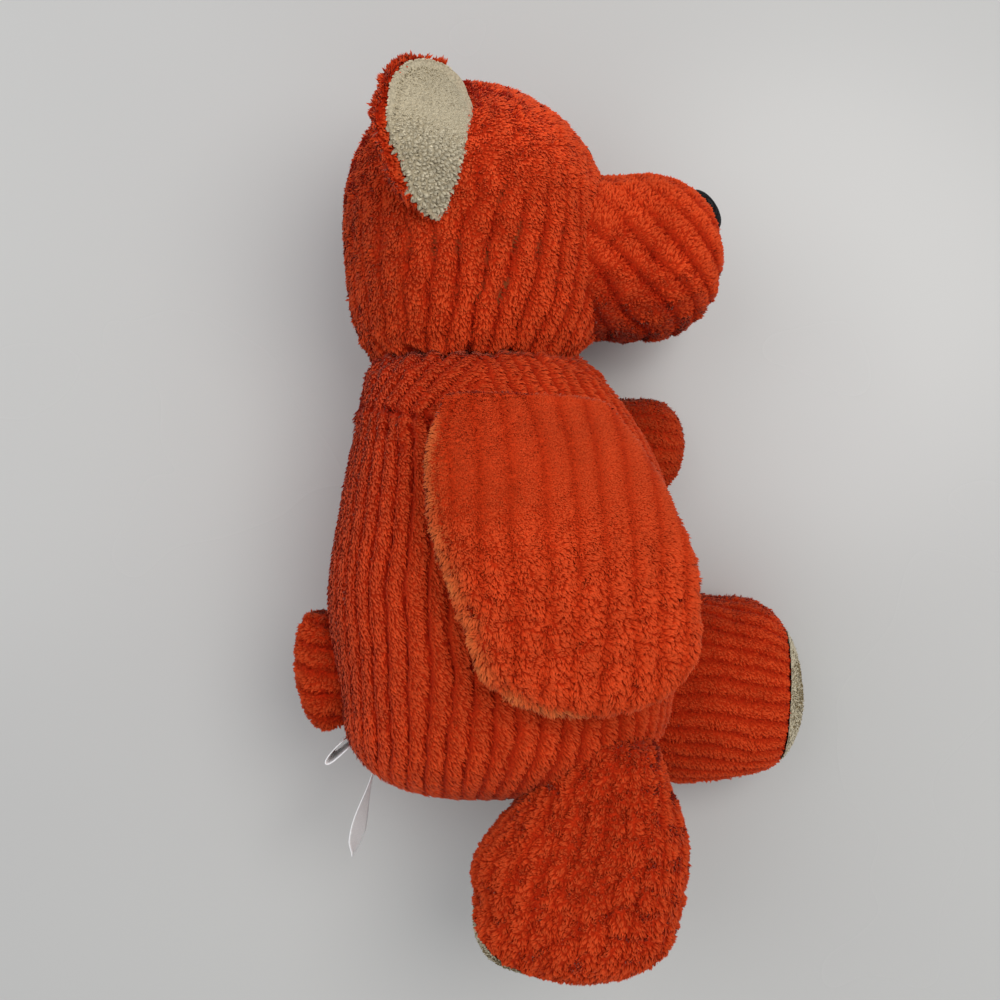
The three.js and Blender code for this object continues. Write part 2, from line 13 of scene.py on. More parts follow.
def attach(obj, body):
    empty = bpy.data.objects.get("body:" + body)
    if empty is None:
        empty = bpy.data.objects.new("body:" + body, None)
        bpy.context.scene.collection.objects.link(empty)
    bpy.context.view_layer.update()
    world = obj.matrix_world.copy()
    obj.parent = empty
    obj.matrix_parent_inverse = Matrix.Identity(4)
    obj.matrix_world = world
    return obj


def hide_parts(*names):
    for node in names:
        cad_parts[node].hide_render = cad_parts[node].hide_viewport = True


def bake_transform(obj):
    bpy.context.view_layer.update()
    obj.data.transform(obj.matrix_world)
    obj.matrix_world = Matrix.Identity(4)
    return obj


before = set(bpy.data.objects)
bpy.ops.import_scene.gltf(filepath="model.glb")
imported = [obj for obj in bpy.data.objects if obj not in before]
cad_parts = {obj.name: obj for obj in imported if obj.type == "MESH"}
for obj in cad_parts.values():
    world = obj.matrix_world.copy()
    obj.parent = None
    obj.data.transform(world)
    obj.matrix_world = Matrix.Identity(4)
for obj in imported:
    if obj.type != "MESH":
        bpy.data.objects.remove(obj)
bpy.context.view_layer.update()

MM = 0.001
MIDPLANE = 56.0
FLOOR_CUT = 0.5
NECK_AT = 86.0
NECK_TUCK = 2.5
PILE_DEPTH = 1.1
TAU = 2 * math.pi

# Camera, lamps and floor

CAMERA_AT = (0.0, 0.036, 0.500)
LENS, SENSOR_WIDTH = 44.0, 36.0
ROOM_COLOUR, ROOM_STRENGTH = (0.93, 0.96, 1.0, 1.0), 0.56


def add_object(name, data):
    made = bpy.data.objects.new(name, data)
    bpy.context.scene.collection.objects.link(made)
    return made


def add_camera():
    data = bpy.data.cameras.new("camera")
    data.lens = LENS
    data.sensor_width = SENSOR_WIDTH
    data.clip_start = 0.01
    camera = add_object("camera", data)
    camera.location = CAMERA_AT
    bpy.context.scene.camera = camera


def add_lamp(name, place, target, size, watts, colour):
    data = bpy.data.lights.new(name, "AREA")
    data.shape = "DISK"
    data.size = size
    data.energy = watts
    data.color = colour
    lamp = add_object(name, data)
    lamp.location = place
    lamp.rotation_euler = (Vector(target) - Vector(place)).to_track_quat("-Z", "Y").to_euler()


def add_world():
    world = bpy.data.worlds.new("room")
    world.use_nodes = True
    back = world.node_tree.nodes["Background"]
    back.inputs["Color"].default_value = ROOM_COLOUR
    back.inputs["Strength"].default_value = ROOM_STRENGTH
    bpy.context.scene.world = world


bpy.context.scene.view_settings.view_transform = "Standard"
add_camera()
add_world()
add_lamp("window", place=(0.35, 0.24, 0.95), target=(0.02, 0.02, 0.05), size=0.6, watts=3.9,
         colour=(1.0, 0.98, 0.95))
add_lamp("room_light", place=(-0.55, 0.30, 0.9), target=(0.0, 0.03, 0.05), size=0.9, watts=2.3,
         colour=(0.97, 0.98, 1.0))


# Node materials

SHEEN_ROUGHNESS = 0.45


class Nodes:
    """A small helper that adds and joins shader nodes."""

    def __init__(self, name):
        self.material = bpy.data.materials.new(name)
        self.material.use_nodes = True
        self.tree = self.material.node_tree
        self.shader = self.tree.nodes["Principled BSDF"]

    def add(self, kind, **values):
        node = self.tree.nodes.new(kind)
        for key, value in values.items():
            setattr(node, key, value)
        return node

    def join(self, output, entry):
        self.tree.links.new(output, entry)

    def attribute(self, name):
        return self.add("ShaderNodeAttribute", attribute_name=name).outputs["Fac"]

    def noise(self, scale, detail=2.0, stretch=(1, 1, 1)):
        place = self.add("ShaderNodeTexCoord").outputs["Object"]
        mapping = self.add("ShaderNodeMapping")
        mapping.inputs["Scale"].default_value = stretch
        node = self.add("ShaderNodeTexNoise")
        node.inputs["Scale"].default_value = scale
        node.inputs["Detail"].default_value = detail
        self.join(place, mapping.inputs["Vector"])
        self.join(mapping.outputs["Vector"], node.inputs["Vector"])
        return node.outputs["Fac"]

    def span(self, value, low, high, to_low, to_high):
        node = self.add("ShaderNodeMapRange")
        node.inputs["From Min"].default_value = low
        node.inputs["From Max"].default_value = high
        node.inputs["To Min"].default_value = to_low
        node.inputs["To Max"].default_value = to_high
        self.join(value, node.inputs["Value"])
        return node.outputs["Result"]

    def spread(self, noise, to_low, to_high):
        """Spreads a noise, most of which lies between 0.3 and 0.7, over a wider span."""
        return self.span(noise, 0.3, 0.7, to_low, to_high)

    def ramp(self, value, stops):
        node = self.add("ShaderNodeValToRGB")
        elements = node.color_ramp.elements
        while len(elements) < len(stops):
            elements.new(0.5)
        for element, (place, colour) in zip(elements, stops):
            element.position = place
            element.color = (*colour, 1.0)
        self.join(value, node.inputs["Fac"])
        return node.outputs["Color"]

    def mixed(self, factor, colour, plain):
        node = self.add("ShaderNodeMix", data_type="RGBA")
        self.join(factor, node.inputs["Factor"])
        self.join(colour, node.inputs["A"])
        node.inputs["B"].default_value = (*plain, 1.0)
        return node.outputs["Result"]

    def lit_by(self, colour, value):
        node = self.add("ShaderNodeHueSaturation")
        self.join(colour, node.inputs["Color"])
        self.join(value, node.inputs["Value"])
        return node.outputs["Color"]

    def bump(self, height, strength, distance):
        node = self.add("ShaderNodeBump")
        node.inputs["Strength"].default_value = strength
        node.inputs["Distance"].default_value = distance
        self.join(height, node.inputs["Height"])
        self.join(node.outputs["Normal"], self.shader.inputs["Normal"])

    def finish(self, colour, roughness, sheen, sheen_tint, specular):
        self.join(colour, self.shader.inputs["Base Color"])
        self.join(roughness, self.shader.inputs["Roughness"])
        self.shader.inputs["Sheen Weight"].default_value = sheen
        self.shader.inputs["Sheen Roughness"].default_value = SHEEN_ROUGHNESS
        self.shader.inputs["Sheen Tint"].default_value = (*sheen_tint, 1.0)
        self.shader.inputs["Specular IOR Level"].default_value = specular
        return self.material


# Colours along the tip value: the top stop is the yarn's own colour, and the darker stops below it are
# painted shade at roots, in furrows, in creases and between stitches.
CORD_STOPS = [
    (0.0, (0.16, 0.004, 0.001)),
    (0.35, (0.42, 0.018, 0.004)),
    (0.7, (0.61, 0.046, 0.009)),
    (1.0, (0.79, 0.098, 0.026)),
]
CREAM_STOPS = [(0.0, (0.22, 0.165, 0.09)), (0.4, (0.46, 0.385, 0.255)), (1.0, (0.71, 0.625, 0.455))]
BLACK_STOPS = [(0.0, (0.002, 0.002, 0.003)), (0.6, (0.008, 0.009, 0.010)), (1.0, (0.020, 0.021, 0.023))]


def pile_material(name, stops, backing_and_sheen, sheen, sheen_tint, cloudy):
    """Yarn strands: darker at the root as painted shade, each one a little different, and mixed towards a
    pale colour as a painted sheen where that mix is set.
    """
    n = Nodes(name)
    colour = n.ramp(n.attribute("tip"), stops)
    patches = n.spread(n.noise(60, 3), 1 - cloudy, 1 + cloudy)
    colour = n.lit_by(colour, patches)
    # The tone value holds each strand's own tone together with painted light and painted shade.
    single = n.span(n.attribute("tone_and_shade"), -1, 1, 0.60, 1.35)
    colour = n.lit_by(colour, single)
    # Painted sheen: the strands turn to the pale colour where the mix is set, as on the arm's rim.
    colour = n.mixed(n.attribute("backing_and_sheen"), colour, backing_and_sheen)
    roughness = n.spread(n.noise(900, 1), 0.8, 1.0)
    return n.finish(colour, roughness, sheen, sheen_tint, specular=0.0)


def cloth_material(name, stops, backing_and_sheen, sheen, sheen_tint):
    """The knitted ground under the strands, dark in the furrows between the wales as painted shade."""
    n = Nodes(name)
    colour = n.ramp(n.attribute("tip"), stops)
    strands = n.noise(1400, 2)
    colour = n.lit_by(colour, n.spread(strands, 0.7, 1.15))
    colour = n.mixed(n.attribute("backing_and_sheen"), colour, backing_and_sheen)
    n.bump(strands, 0.7, 0.0006)
    roughness = n.spread(n.noise(300, 2), 0.85, 1.0)
    return n.finish(colour, roughness, sheen, sheen_tint, specular=0.0)


def thread_material():
    """Black embroidery thread, with a slight shine along the stitches."""
    n = Nodes("black_thread")
    colour = n.ramp(n.attribute("tip"), BLACK_STOPS)
    fuzz = n.noise(1800, 2)
    colour = n.lit_by(colour, n.spread(fuzz, 0.7, 1.3))
    n.bump(fuzz, 0.5, 0.0004)
    return n.finish(colour, n.spread(fuzz, 0.6, 0.85), 0.03, (0.7, 0.7, 0.75), specular=0.15)


def satin_material():
    """A woven satin label: fine cross threads and a soft shine."""
    n = Nodes("white_satin")
    weave = n.noise(2500, 1, (1, 1, 0.15))
    colour = n.ramp(weave, [(0.35, (0.90, 0.90, 0.90)), (0.65, (0.98, 0.98, 0.98))])
    n.bump(weave, 0.25, 0.0001)
    return n.finish(colour, n.spread(weave, 0.35, 0.5), 0.1, (1, 1, 1), specular=0.45)


def floor_material():
    """A plain pale table top with faint cloudiness and a soft gloss."""
    n = Nodes("table_top")
    cloud = n.noise(3, 2)
    colour = n.ramp(cloud, [(0.1, (0.545, 0.535, 0.525)), (0.9, (0.61, 0.605, 0.58))])
    return n.finish(colour, n.span(n.noise(8, 2), 0.0, 1.0, 0.18, 0.34), 0.0, (1, 1, 1), specular=0.35)


# The first colours are painted sheen on the pile; the bare colours are the real bare backing of the cloth.
PAINTED_SHEEN_CORD, BARE_CORD, SHEEN_CORD = (0.80, 0.20, 0.055), (0.24, 0.08, 0.025), (1.0, 0.52, 0.38)
PAINTED_SHEEN_CREAM, BARE_CREAM, SHEEN_CREAM = (0.66, 0.60, 0.48), (0.5, 0.45, 0.33), (1, 0.97, 0.9)
cord_pile = pile_material("cord_pile", CORD_STOPS, PAINTED_SHEEN_CORD, 0.28, SHEEN_CORD, 0.10)
cord_cloth = cloth_material("cord_cloth", CORD_STOPS, BARE_CORD, 0.1, SHEEN_CORD)
cream_pile = pile_material("cream_pile", CREAM_STOPS, PAINTED_SHEEN_CREAM, 0.12, SHEEN_CREAM, 0.03)
cream_cloth = cloth_material("cream_cloth", CREAM_STOPS, BARE_CREAM, 0.05, SHEEN_CREAM)
black_thread = thread_material()
white_satin = satin_material()


FLOOR_HALF = 3


def add_floor():
    mesh = bpy.data.meshes.new("floor")
    corners = [(x * FLOOR_HALF, y * FLOOR_HALF, 0) for x, y in ((-1, -1), (1, -1), (1, 1), (-1, 1))]
    mesh.from_pydata(corners, [], [(0, 1, 2, 3)])
    mesh.materials.append(floor_material())
    floor = add_object("floor", mesh)


add_floor()


# Soft forms, as in the CAD source: rows are at, back, front, low, high

PLAIN_ENDS = dict(start_cap=0.0, start_drift=0.0, end_cap=0.0, end_drift=0.0, fullness=2.2)


def form(rows, **ends):
    return {"rows": np.array(rows, float), **PLAIN_ENDS, **ends}


BODY = form(
    [(-36, 57, 62, 54, 54), (0, 62.3, 69, 56.5, 56.5), (36, 57.6, 61.6, 54.5, 54.5),
     (60, 53, 51.5, 49.5, 49.5), (90, 47.5, 30, 37, 37)],
    start_cap=34.3, start_drift=-10,
)
HEAD = form(
    [(80, 46, 25, 34, 34), (103, 54, 38, 46.5, 46.5), (133, 57, 40, 50.4, 50.4)],
    end_cap=52.4, end_drift=-5, fullness=2.1,
)
MUZZLE_AT = 123.0
MUZZLE = form([(22, 28.5, 29, 33, 33), (50, 30.2, 30, 32.5, 32.5)], end_cap=30.5, fullness=2.2)
ARM = form(
    [(2, 29, 28.5, 0.5, 8), (24, 42, 35, 1, 19), (52, 52.5, 31.5, 1.5, 25.5), (76, 55, 21.5, 1.5, 23.5)],
    start_cap=3, end_cap=27,
)
FOLDED_ARM = form(
    [(0, 13, 13, 15, 2), (26, 18, 17, 17, 12), (48, 20, 19, 17.5, 17.5)], end_cap=17,
)
LEG_ROWS = [(-4, 16, 18, 19, 19), (22, 29, 33, 25, 25), (40, 30.5, 42, 28, 28), (52, 29.5, 40, 28, 28)]
RIGHT_LEG = form(LEG_ROWS, start_cap=8, end_cap=22, end_drift=9, fullness=2.3)
LEFT_LEG = form([(r[0], r[2], r[1], r[3], r[4]) for r in LEG_ROWS], start_cap=6, end_cap=26.5, fullness=2.3)
TAIL = form([(-7, 17.5, 18, 12, 12), (4, 21.5, 22.5, 15, 15)], end_cap=12.5, end_drift=5, fullness=2.4)


def reaches_at(shape, at):
    """The four reaches at each place along a form: a cubic between the rows, with matched slopes."""
    rows = shape["rows"]
    x, y = rows[:, 0], rows[:, 1:]
    last = len(rows) - 1
    slope = np.empty_like(y)
    for i in range(last + 1):
        a, b = max(i - 1, 0), min(i + 1, last)
        slope[i] = (y[b] - y[a]) / (x[b] - x[a])
    i = np.clip(np.searchsorted(x, at) - 1, 0, last - 1)
    span = (x[i + 1] - x[i])[:, None]
    t = (at - x[i])[:, None] / span
    start = y[i] * (2 * t**3 - 3 * t**2 + 1) + slope[i] * span * (t**3 - 2 * t**2 + t)
    end = y[i + 1] * (3 * t**2 - 2 * t**3) + slope[i + 1] * span * (t**3 - t**2)
    return start + end


def rounding(share, fullness):
    """How far a round section still reaches at a share of its half width."""
    return (1 - share**fullness) ** (1 / fullness)


def sections_at(shape, at):
    """Middle and half of each section, across and upright, with the round caps at the ends."""
    rows = shape["rows"]
    first, last = rows[0, 0], rows[-1, 0]
    back, front, low, high = reaches_at(shape, np.clip(at, first, last)).T
    middle, half = (front - back) / 2, (front + back) / 2
    rise, tall = (high - low) / 2, (high + low) / 2
    for past, end, cap, drift in (
        (at < first, first, shape["start_cap"], shape["start_drift"]),
        (at > last, last, shape["end_cap"], shape["end_drift"]),
    ):
        if cap == 0:
            continue
        out = np.clip(np.abs(at - end) / cap, 0, 1)
        width = rounding(out, shape["fullness"])
        middle = np.where(past, middle + drift * out**2, middle)
        half = np.where(past, half * width, half)
        tall = np.where(past, tall * width, tall)
    return middle, half, rise, tall


def section_at(shape, at):
    return [float(v[0]) for v in sections_at(shape, np.array([float(at)]))]


CAP_TIP, CAP_RINGS = 0.985, 1.5


def cap_places(cap, step):
    """How far out the rings of a round cap lie, from its tip inwards."""
    turn = np.linspace(CAP_TIP, 0, int(cap / step * CAP_RINGS), endpoint=False) * math.pi / 2
    return cap * np.sin(turn)


def places_along(shape, step, start=None, stop=None):
    """Even rings between the end rows, closer together towards a tip."""
    rows = shape["rows"]
    first = rows[0, 0] if start is None else start
    last = rows[-1, 0] if stop is None else stop
    middle = np.linspace(first, last, max(3, int((last - first) / step)))
    parts = [middle]
    if shape["start_cap"] > 0 and start is None:
        parts.insert(0, first - cap_places(shape["start_cap"], step))
    if shape["end_cap"] > 0 and stop is None:
        parts.append(last + cap_places(shape["end_cap"], step)[::-1])
    return np.concatenate(parts)


def grid_of(shape, at, points):
    """The form's surface as rings by points. Back is -X, front is +X, low is -Z and high is +Z."""
    middle, half, rise, tall = (v[:, None] for v in sections_at(shape, at))
    angle = np.arange(points) * TAU / points
    power = 2 / shape["fullness"]
    across, upright = (np.sign(v) * np.abs(v) ** power for v in (np.cos(angle), np.sin(angle)))
    x = middle + half * across
    z = rise + tall * upright
    y = np.broadcast_to(at[:, None], x.shape)
    return np.stack([x, y, z], -1)


def unit(v):
    return v / np.maximum(np.linalg.norm(v, axis=-1, keepdims=True), 1e-9)


def along_normal(v, normal):
    return np.sum(v * normal, -1, keepdims=True)


def pose_of(origin, along, face):
    """Rotation and origin that lay a form's +Y along a direction, with +Z near another."""
    y = unit(np.array(along, float))
    x = unit(np.cross(y, np.array(face, float)))
    z = np.cross(x, y)
    return np.stack([x, y, z], 1), np.array(origin, float)


def placed(local, pose):
    turn, origin = pose
    return local @ turn.T + origin


def flat_turn(degrees):
    return np.array([math.cos(math.radians(degrees)), math.sin(math.radians(degrees)), 0.0])


def ripple(p, size, seed, parts=6):
    """Smooth irregular waves of about that size, from about -1 to 1."""
    rng = np.random.default_rng(seed)
    total = np.zeros(p.shape[:-1])
    for _ in range(parts):
        way = rng.normal(size=3)
        way = way / np.linalg.norm(way) * TAU / size * rng.uniform(0.7, 1.4)
        total += np.sin(p @ way + rng.uniform(0, TAU))
    return total / math.sqrt(parts)


def hill(distance, width):
    return np.exp(-((distance / width) ** 2))


def step_up(value, low, high):
    t = np.clip((value - low) / (high - low), 0, 1)
    return t * t * (3 - 2 * t)


class Cloth:
    """A closed cloth surface as rings by points, with what its relief and its pile need."""

    def __init__(self, shape, pose, step=1.3, points=200, start=None, stop=None):
        self.at = places_along(shape, step, start, stop)
        self.local = grid_of(shape, self.at, points)
        self.measure_rings()
        self.pose = pose
        self.place = placed(self.local, pose)
        none, full = np.zeros(self.arc.shape), np.ones(self.arc.shape)
        self.wale = self.density = self.long = full
        self.backing_and_sheen = self.side = self.calm = self.bright = self.fringe = none
        self.rim = np.zeros_like(self.place)
        self.read_directions()

    def measure_rings(self):
        """Distances round each ring: from the crown or the keel, and from the seams at both edges."""
        points = self.local.shape[1]
        quarter, half = points // 4, points // 2
        steps = np.linalg.norm(np.roll(self.local, -1, 1) - self.local, axis=-1)
        run = np.concatenate([np.zeros((len(self.local), 1)), np.cumsum(steps, 1)[:, :-1]], 1)
        upper = run - run[:, quarter:quarter + 1]
        lower = run[:, 3 * quarter:3 * quarter + 1] - run
        which = np.arange(points)[None, :] <= half
        self.arc = np.where(which, upper, lower)
        widest = np.argmax(np.ptp(self.local[..., 0], axis=1) + np.ptp(self.local[..., 2], axis=1))
        self.widest_arc = self.arc[widest][None, :]
        self.front_edge = np.minimum(run, steps.sum(1)[:, None] - run)
        self.back_edge = np.abs(run - run[:, half:half + 1])

    def read_directions(self):
        du = np.gradient(self.place, axis=0)
        dv = np.roll(self.place, -1, 1) - np.roll(self.place, 1, 1)
        self.normal = unit(np.cross(du, dv))
        self.along = unit(du - self.normal * along_normal(du, self.normal))
        self.across = unit(np.cross(self.normal, self.along))

    def settle(self, sink=PILE_DEPTH):
        """Keeps the smooth form's directions, and sinks the ground so that the pile ends at the form."""
        self.smooth_normal = self.normal.copy()
        self.smooth_along = self.along.copy()
        self.smooth_across = self.across.copy()
        self.push(np.full(self.arc.shape, -sink))

    def push(self, offset):
        self.place = self.place + self.normal * offset[..., None]

    def ribs(self, phase, depth, shape=3.0, clear=1.0):
        """Rounded wales with narrow furrows: phase counts wales, and clear is how far the pile shows them,
        with painted shade in the furrows.
        """
        share = phase - np.floor(phase)
        turn = np.sign(np.roll(phase, -1, 1) - np.roll(phase, 1, 1))
        self.side = (2 * share - 1) * turn
        height = np.sqrt(np.clip(1 - np.abs(self.side) ** shape, 0, 1))
        self.push(depth * (height - 1))
        self.wale = 1 - clear * (1 - height)

    def dent(self, amount, depth):
        """A sewn-in crease: the surface sinks and the pile there is darker, as painted shade."""
        self.push(-depth * amount)
        self.wale = self.wale * (1 - 0.75 * np.clip(amount, 0, 1))

    def above_floor(self, least=0.1):
        self.place[..., 2] = np.maximum(self.place[..., 2], least)

    def fringe_at_edges(self, front, back, width):
        """Where the pile stands out sideways past the seams at a flat form's edges."""
        half = self.arc.shape[1] // 2
        nearer = (self.front_edge < self.back_edge)[..., None]
        self.rim = np.where(nearer, self.smooth_normal[:, :1], self.smooth_normal[:, half:half + 1])
        self.fringe = front * hill(self.front_edge, width) + back * hill(self.back_edge, width)


def shown(name, mesh, values, material):
    """Gives a mesh the values that its material reads, and puts it in the scene."""
    for key, value in values.items():
        attribute = mesh.attributes.new(key, "FLOAT", "POINT")
        attribute.data.foreach_set("value", np.asarray(value, np.float32))
    mesh.materials.append(material)
    return add_object(name, mesh)


def make_object(name, points, faces, values, material):
    mesh = bpy.data.meshes.new(name)
    mesh.from_pydata((points * MM).tolist(), [], faces)
    mesh.polygons.foreach_set("use_smooth", [True] * len(mesh.polygons))
    mesh.update()
    return shown(name, mesh, values, material)


def grid_faces(rings, points):
    i, j = np.meshgrid(np.arange(rings - 1), np.arange(points), indexing="ij")
    k = (j + 1) % points
    quads = np.stack([i * points + j, (i + 1) * points + j, (i + 1) * points + k, i * points + k], -1)
    return quads, i, j, k


# Colour values of the ground under the pile, as painted shade: darkest in the furrows, lighter on the wales.
GROUND_FURROW, GROUND_WALE = 0.14, 0.38


def cloth_object(name, cloth, material, hidden=None, ground_painted_light=0.0):
    """The ground cloth as a mesh. hidden marks grid points whose faces aren't needed. Its colour value is
    painted shade, lightened by the last argument where the cloth is calm.
    """
    rings, points = cloth.arc.shape
    flat = cloth.place.reshape(-1, 3)
    tips = np.stack([cloth.place[0].mean(0), cloth.place[-1].mean(0)])
    quads, i, j, k = grid_faces(rings, points)
    if hidden is None:
        hidden = np.zeros(cloth.arc.shape, bool)
    away = hidden[i, j] & hidden[i + 1, j] & hidden[i + 1, k] & hidden[i, k]
    faces = quads[~away].reshape(-1, 4).tolist()
    count = rings * points
    ring = np.arange(points)
    after = (ring + 1) % points
    top = (rings - 1) * points
    if not hidden[0].all():
        faces += np.stack([np.full(points, count), ring, after], -1).tolist()
    if not hidden[-1].all():
        faces += np.stack([np.full(points, count + 1), top + after, top + ring], -1).tolist()
    tip = (GROUND_FURROW + GROUND_WALE * cloth.wale + ground_painted_light * cloth.calm).reshape(-1)
    values = {
        "tip": np.append(tip, [tip[0], tip[-1]]),
        "backing_and_sheen": np.append(cloth.backing_and_sheen.reshape(-1), [0, 0]),
    }
    return make_object(name, np.concatenate([flat, tips]), faces, values, material)


ROOT_WIDTH, ROUNDNESS, TIP_ROUNDNESS = 0.8, 0.38, 0.2
LOWEST_STRAND = 0.05


def strands_object(name, roots, mids, tips, sides, normals, widths, values, material):
    """Each strand is a bent leaf of five corners, shaded as if it were round."""
    count = len(roots)
    spread = sides * (widths / 2)[:, None]
    narrow = spread * ROOT_WIDTH
    corners = [roots - narrow, roots + narrow, mids + spread, mids - spread, tips]
    verts = np.stack(corners, 1).reshape(-1, 3)
    verts[:, 2] = np.maximum(verts[:, 2], LOWEST_STRAND)
    mesh = bpy.data.meshes.new(name)
    mesh.vertices.add(count * 5)
    mesh.vertices.foreach_set("co", (verts * MM).astype(np.float32).reshape(-1))
    pattern = np.array([0, 1, 2, 3, 3, 2, 4])
    loops = (np.arange(count)[:, None] * 5 + pattern).reshape(-1)
    mesh.loops.add(len(loops))
    mesh.loops.foreach_set("vertex_index", loops.astype(np.int32))
    mesh.polygons.add(count * 2)
    starts = (np.arange(count)[:, None] * 7 + np.array([0, 4])).reshape(-1)
    mesh.polygons.foreach_set("loop_start", starts.astype(np.int32))
    mesh.polygons.foreach_set("use_smooth", [True] * (count * 2))
    mesh.update(calc_edges=True)
    round_left = unit(normals - sides * ROUNDNESS)
    round_right = unit(normals + sides * ROUNDNESS)
    end = unit(normals + unit(tips - mids) * TIP_ROUNDNESS)
    shaded = np.stack([round_left, round_right, round_right, round_left, end], 1).reshape(-1, 3)
    mesh.normals_split_custom_set_from_vertices(shaded.tolist())
    return shown(name, mesh, values, material)


# The last value is how much painted shade the strands get in the furrows.
QUICK_SHARE, ROOT_SINK, RAGGED, FURROW_SHADE = 0.25, 0.4, 0.3, 0.8
BEND_AT, BEND_RISE = 0.55, 0.12


def pile_object(name, cloth, material, seed, per_mm2=1.3, length=2.8, width=0.85, up=0.4, down=0.7,
                over=-0.7, jitter=0.3, swirl=0.2, swirl_size=9.0, clump=0.25, grain=2.5, skip=None,
                contrast=1.0, bright=0.0):
    """Yarn strands over a cloth. They lean by down along the form's -Y and by over across it, and the
    strands of one grain lean together by clump. Where a cloth is calm, they are more even and paler."""
    rng = np.random.default_rng(seed)
    p = cloth.place
    right = np.roll(p, -1, 1)
    area = np.linalg.norm(np.cross(right[:-1] - p[:-1], p[1:] - p[:-1]), axis=-1)
    weight = area * cloth.density[:-1] * (0.12 + 0.88 * cloth.wale[:-1])
    if skip is not None:
        weight = weight * ~skip[:-1]
    run = np.cumsum(weight.reshape(-1))
    share = 1.0
    count = int(run[-1] * per_mm2 * share)
    pick = np.searchsorted(run, (np.arange(count) + rng.random(count)) / count * run[-1])
    pick = np.minimum(pick, weight.size - 1)
    i, j = np.divmod(pick, p.shape[1])
    k = (j + 1) % p.shape[1]
    a, b = rng.random((2, count))

    def blend_of(field):
        field = field if field.ndim == 3 else field[..., None]
        low = field[i, j] * (1 - b)[:, None] + field[i, k] * b[:, None]
        high = field[i + 1, j] * (1 - b)[:, None] + field[i + 1, k] * b[:, None]
        return low * (1 - a)[:, None] + high * a[:, None]

    base = blend_of(p)
    smooth = unit(blend_of(cloth.smooth_normal))
    normal = unit(blend_of(cloth.normal) * 0.7 + smooth * 0.3)
    wale = blend_of(cloth.wale)[:, 0]
    fringe = blend_of(cloth.fringe)
    far_side = np.clip(cloth.side[i, j] * np.sign(over), 0, 1)
    sweep = over * (1 - 0.8 * far_side**2)[:, None]
    calm = blend_of(cloth.calm)[:, 0]
    swirls = (swirl * (1 - 0.85 * calm))[:, None]
    lean = (
        cloth.smooth_along[i, j] * (-down + swirls * ripple(base, swirl_size, seed + 1)[:, None])
        + cloth.smooth_across[i, j] * (sweep + swirls * ripple(base, swirl_size, seed + 2)[:, None])
        + rng.normal(size=(count, 3)) * jitter
        + cloth.rim[i, j] * fringe
    )
    lean = lean - normal * along_normal(lean, normal)
    way = unit(normal * up + lean)
    size = length * blend_of(cloth.long)[:, 0] * (0.6 + 0.4 * wale) * (1 + RAGGED * rng.uniform(-1, 1, count))
    size = size * (1 + 0.4 * np.clip(fringe[:, 0], 0, 1))
    root = base - normal * ROOT_SINK
    tip = root + way * size[:, None]

    heads = np.arange(0, count, max(1, int(per_mm2 * share * grain**2)))
    tree = KDTree(len(heads))
    for n, h in enumerate(heads.tolist()):
        tree.insert(base[h], n)
    tree.balance()
    found = [tree.find(q) for q in base.tolist()]
    head = heads[np.array([f[1] for f in found])]
    off = np.array([f[2] for f in found]) / grain
    tip += (tip[head] - tip) * (clump * (1 - 0.8 * calm))[:, None]
    mid = root + (tip - root) * BEND_AT + normal * (size * BEND_RISE)[:, None]

    way = unit(tip - root)
    upright = np.array([0, 0, 0.8]) * np.clip(normal[:, 2:] + 0.3, 0, 1)
    side = unit(np.cross(way, unit(normal + upright)))
    roll = rng.normal(size=count) * 0.2
    side = side * np.cos(roll)[:, None] + np.cross(way, side) * np.sin(roll)[:, None]
    facing = np.cross(side, way)
    smoothed = (0.4 + 0.45 * calm)[:, None]
    shade = unit(smooth * smoothed + facing * (1 - smoothed))
    # Each strand's tone differs at random, and strands towards a clump's edge are darker, as painted shade
    # between clumps.
    tone_and_shade = (rng.normal(size=count) * 0.36 + clump * 1.1 * (0.55 - off)) * (1 - 0.6 * calm) * contrast
    # This offset adds painted light (above zero) or painted shade (below zero) to each strand's tone, by
    # piece and by place.
    tone_and_shade = tone_and_shade + bright + blend_of(cloth.bright)[:, 0]
    # Painted shade: strands are darker at the root and in the furrows between the wales; where the cloth is
    # calm the roots are lighter and the tips a little darker.
    tip_value = 1 - FURROW_SHADE * (1 - wale**1.4)
    values = {
        "tip": np.stack(
            [tip_value * (0.22 + 0.3 * calm)] * 2
            + [tip_value * (0.78 + 0.04 * calm)] * 2
            + [tip_value * (1 - 0.14 * calm)], 1
        ).reshape(-1),
        "tone_and_shade": np.repeat(np.clip(tone_and_shade, -1, 1), 5),
        "backing_and_sheen": np.repeat(np.clip(blend_of(cloth.backing_and_sheen)[:, 0], 0, 1), 5),
    }
    widths = width * rng.uniform(0.75, 1.25, count)
    return strands_object(name, root, mid, tip, side, shade, widths, values, material)


def tree_of(cloth):
    """A closed surface tree of a cloth, to test what lies inside it."""
    quads = grid_faces(*cloth.arc.shape)[0]
    return BVHTree.FromPolygons(cloth.place.reshape(-1, 3).tolist(), quads.reshape(-1, 4).tolist())


def depth_in(tree, points, reach=40.0):
    """How deep each point lies inside a closed surface (below zero outside), with the surface near it."""
    depth = np.full(len(points), -reach)
    nearest = np.array(points)
    normals = np.zeros_like(nearest)
    for n, p in enumerate(points.tolist()):
        hit, normal, _, distance = tree.find_nearest(p, reach)
        if hit is None:
            continue
        inside = (Vector(p) - hit).dot(normal) < 0
        depth[n] = distance if inside else -distance
        nearest[n] = hit
        normals[n] = normal
    return depth, nearest, normals


def depth_of(cloth, tree):
    return depth_in(tree, cloth.place.reshape(-1, 3))[0].reshape(cloth.arc.shape)


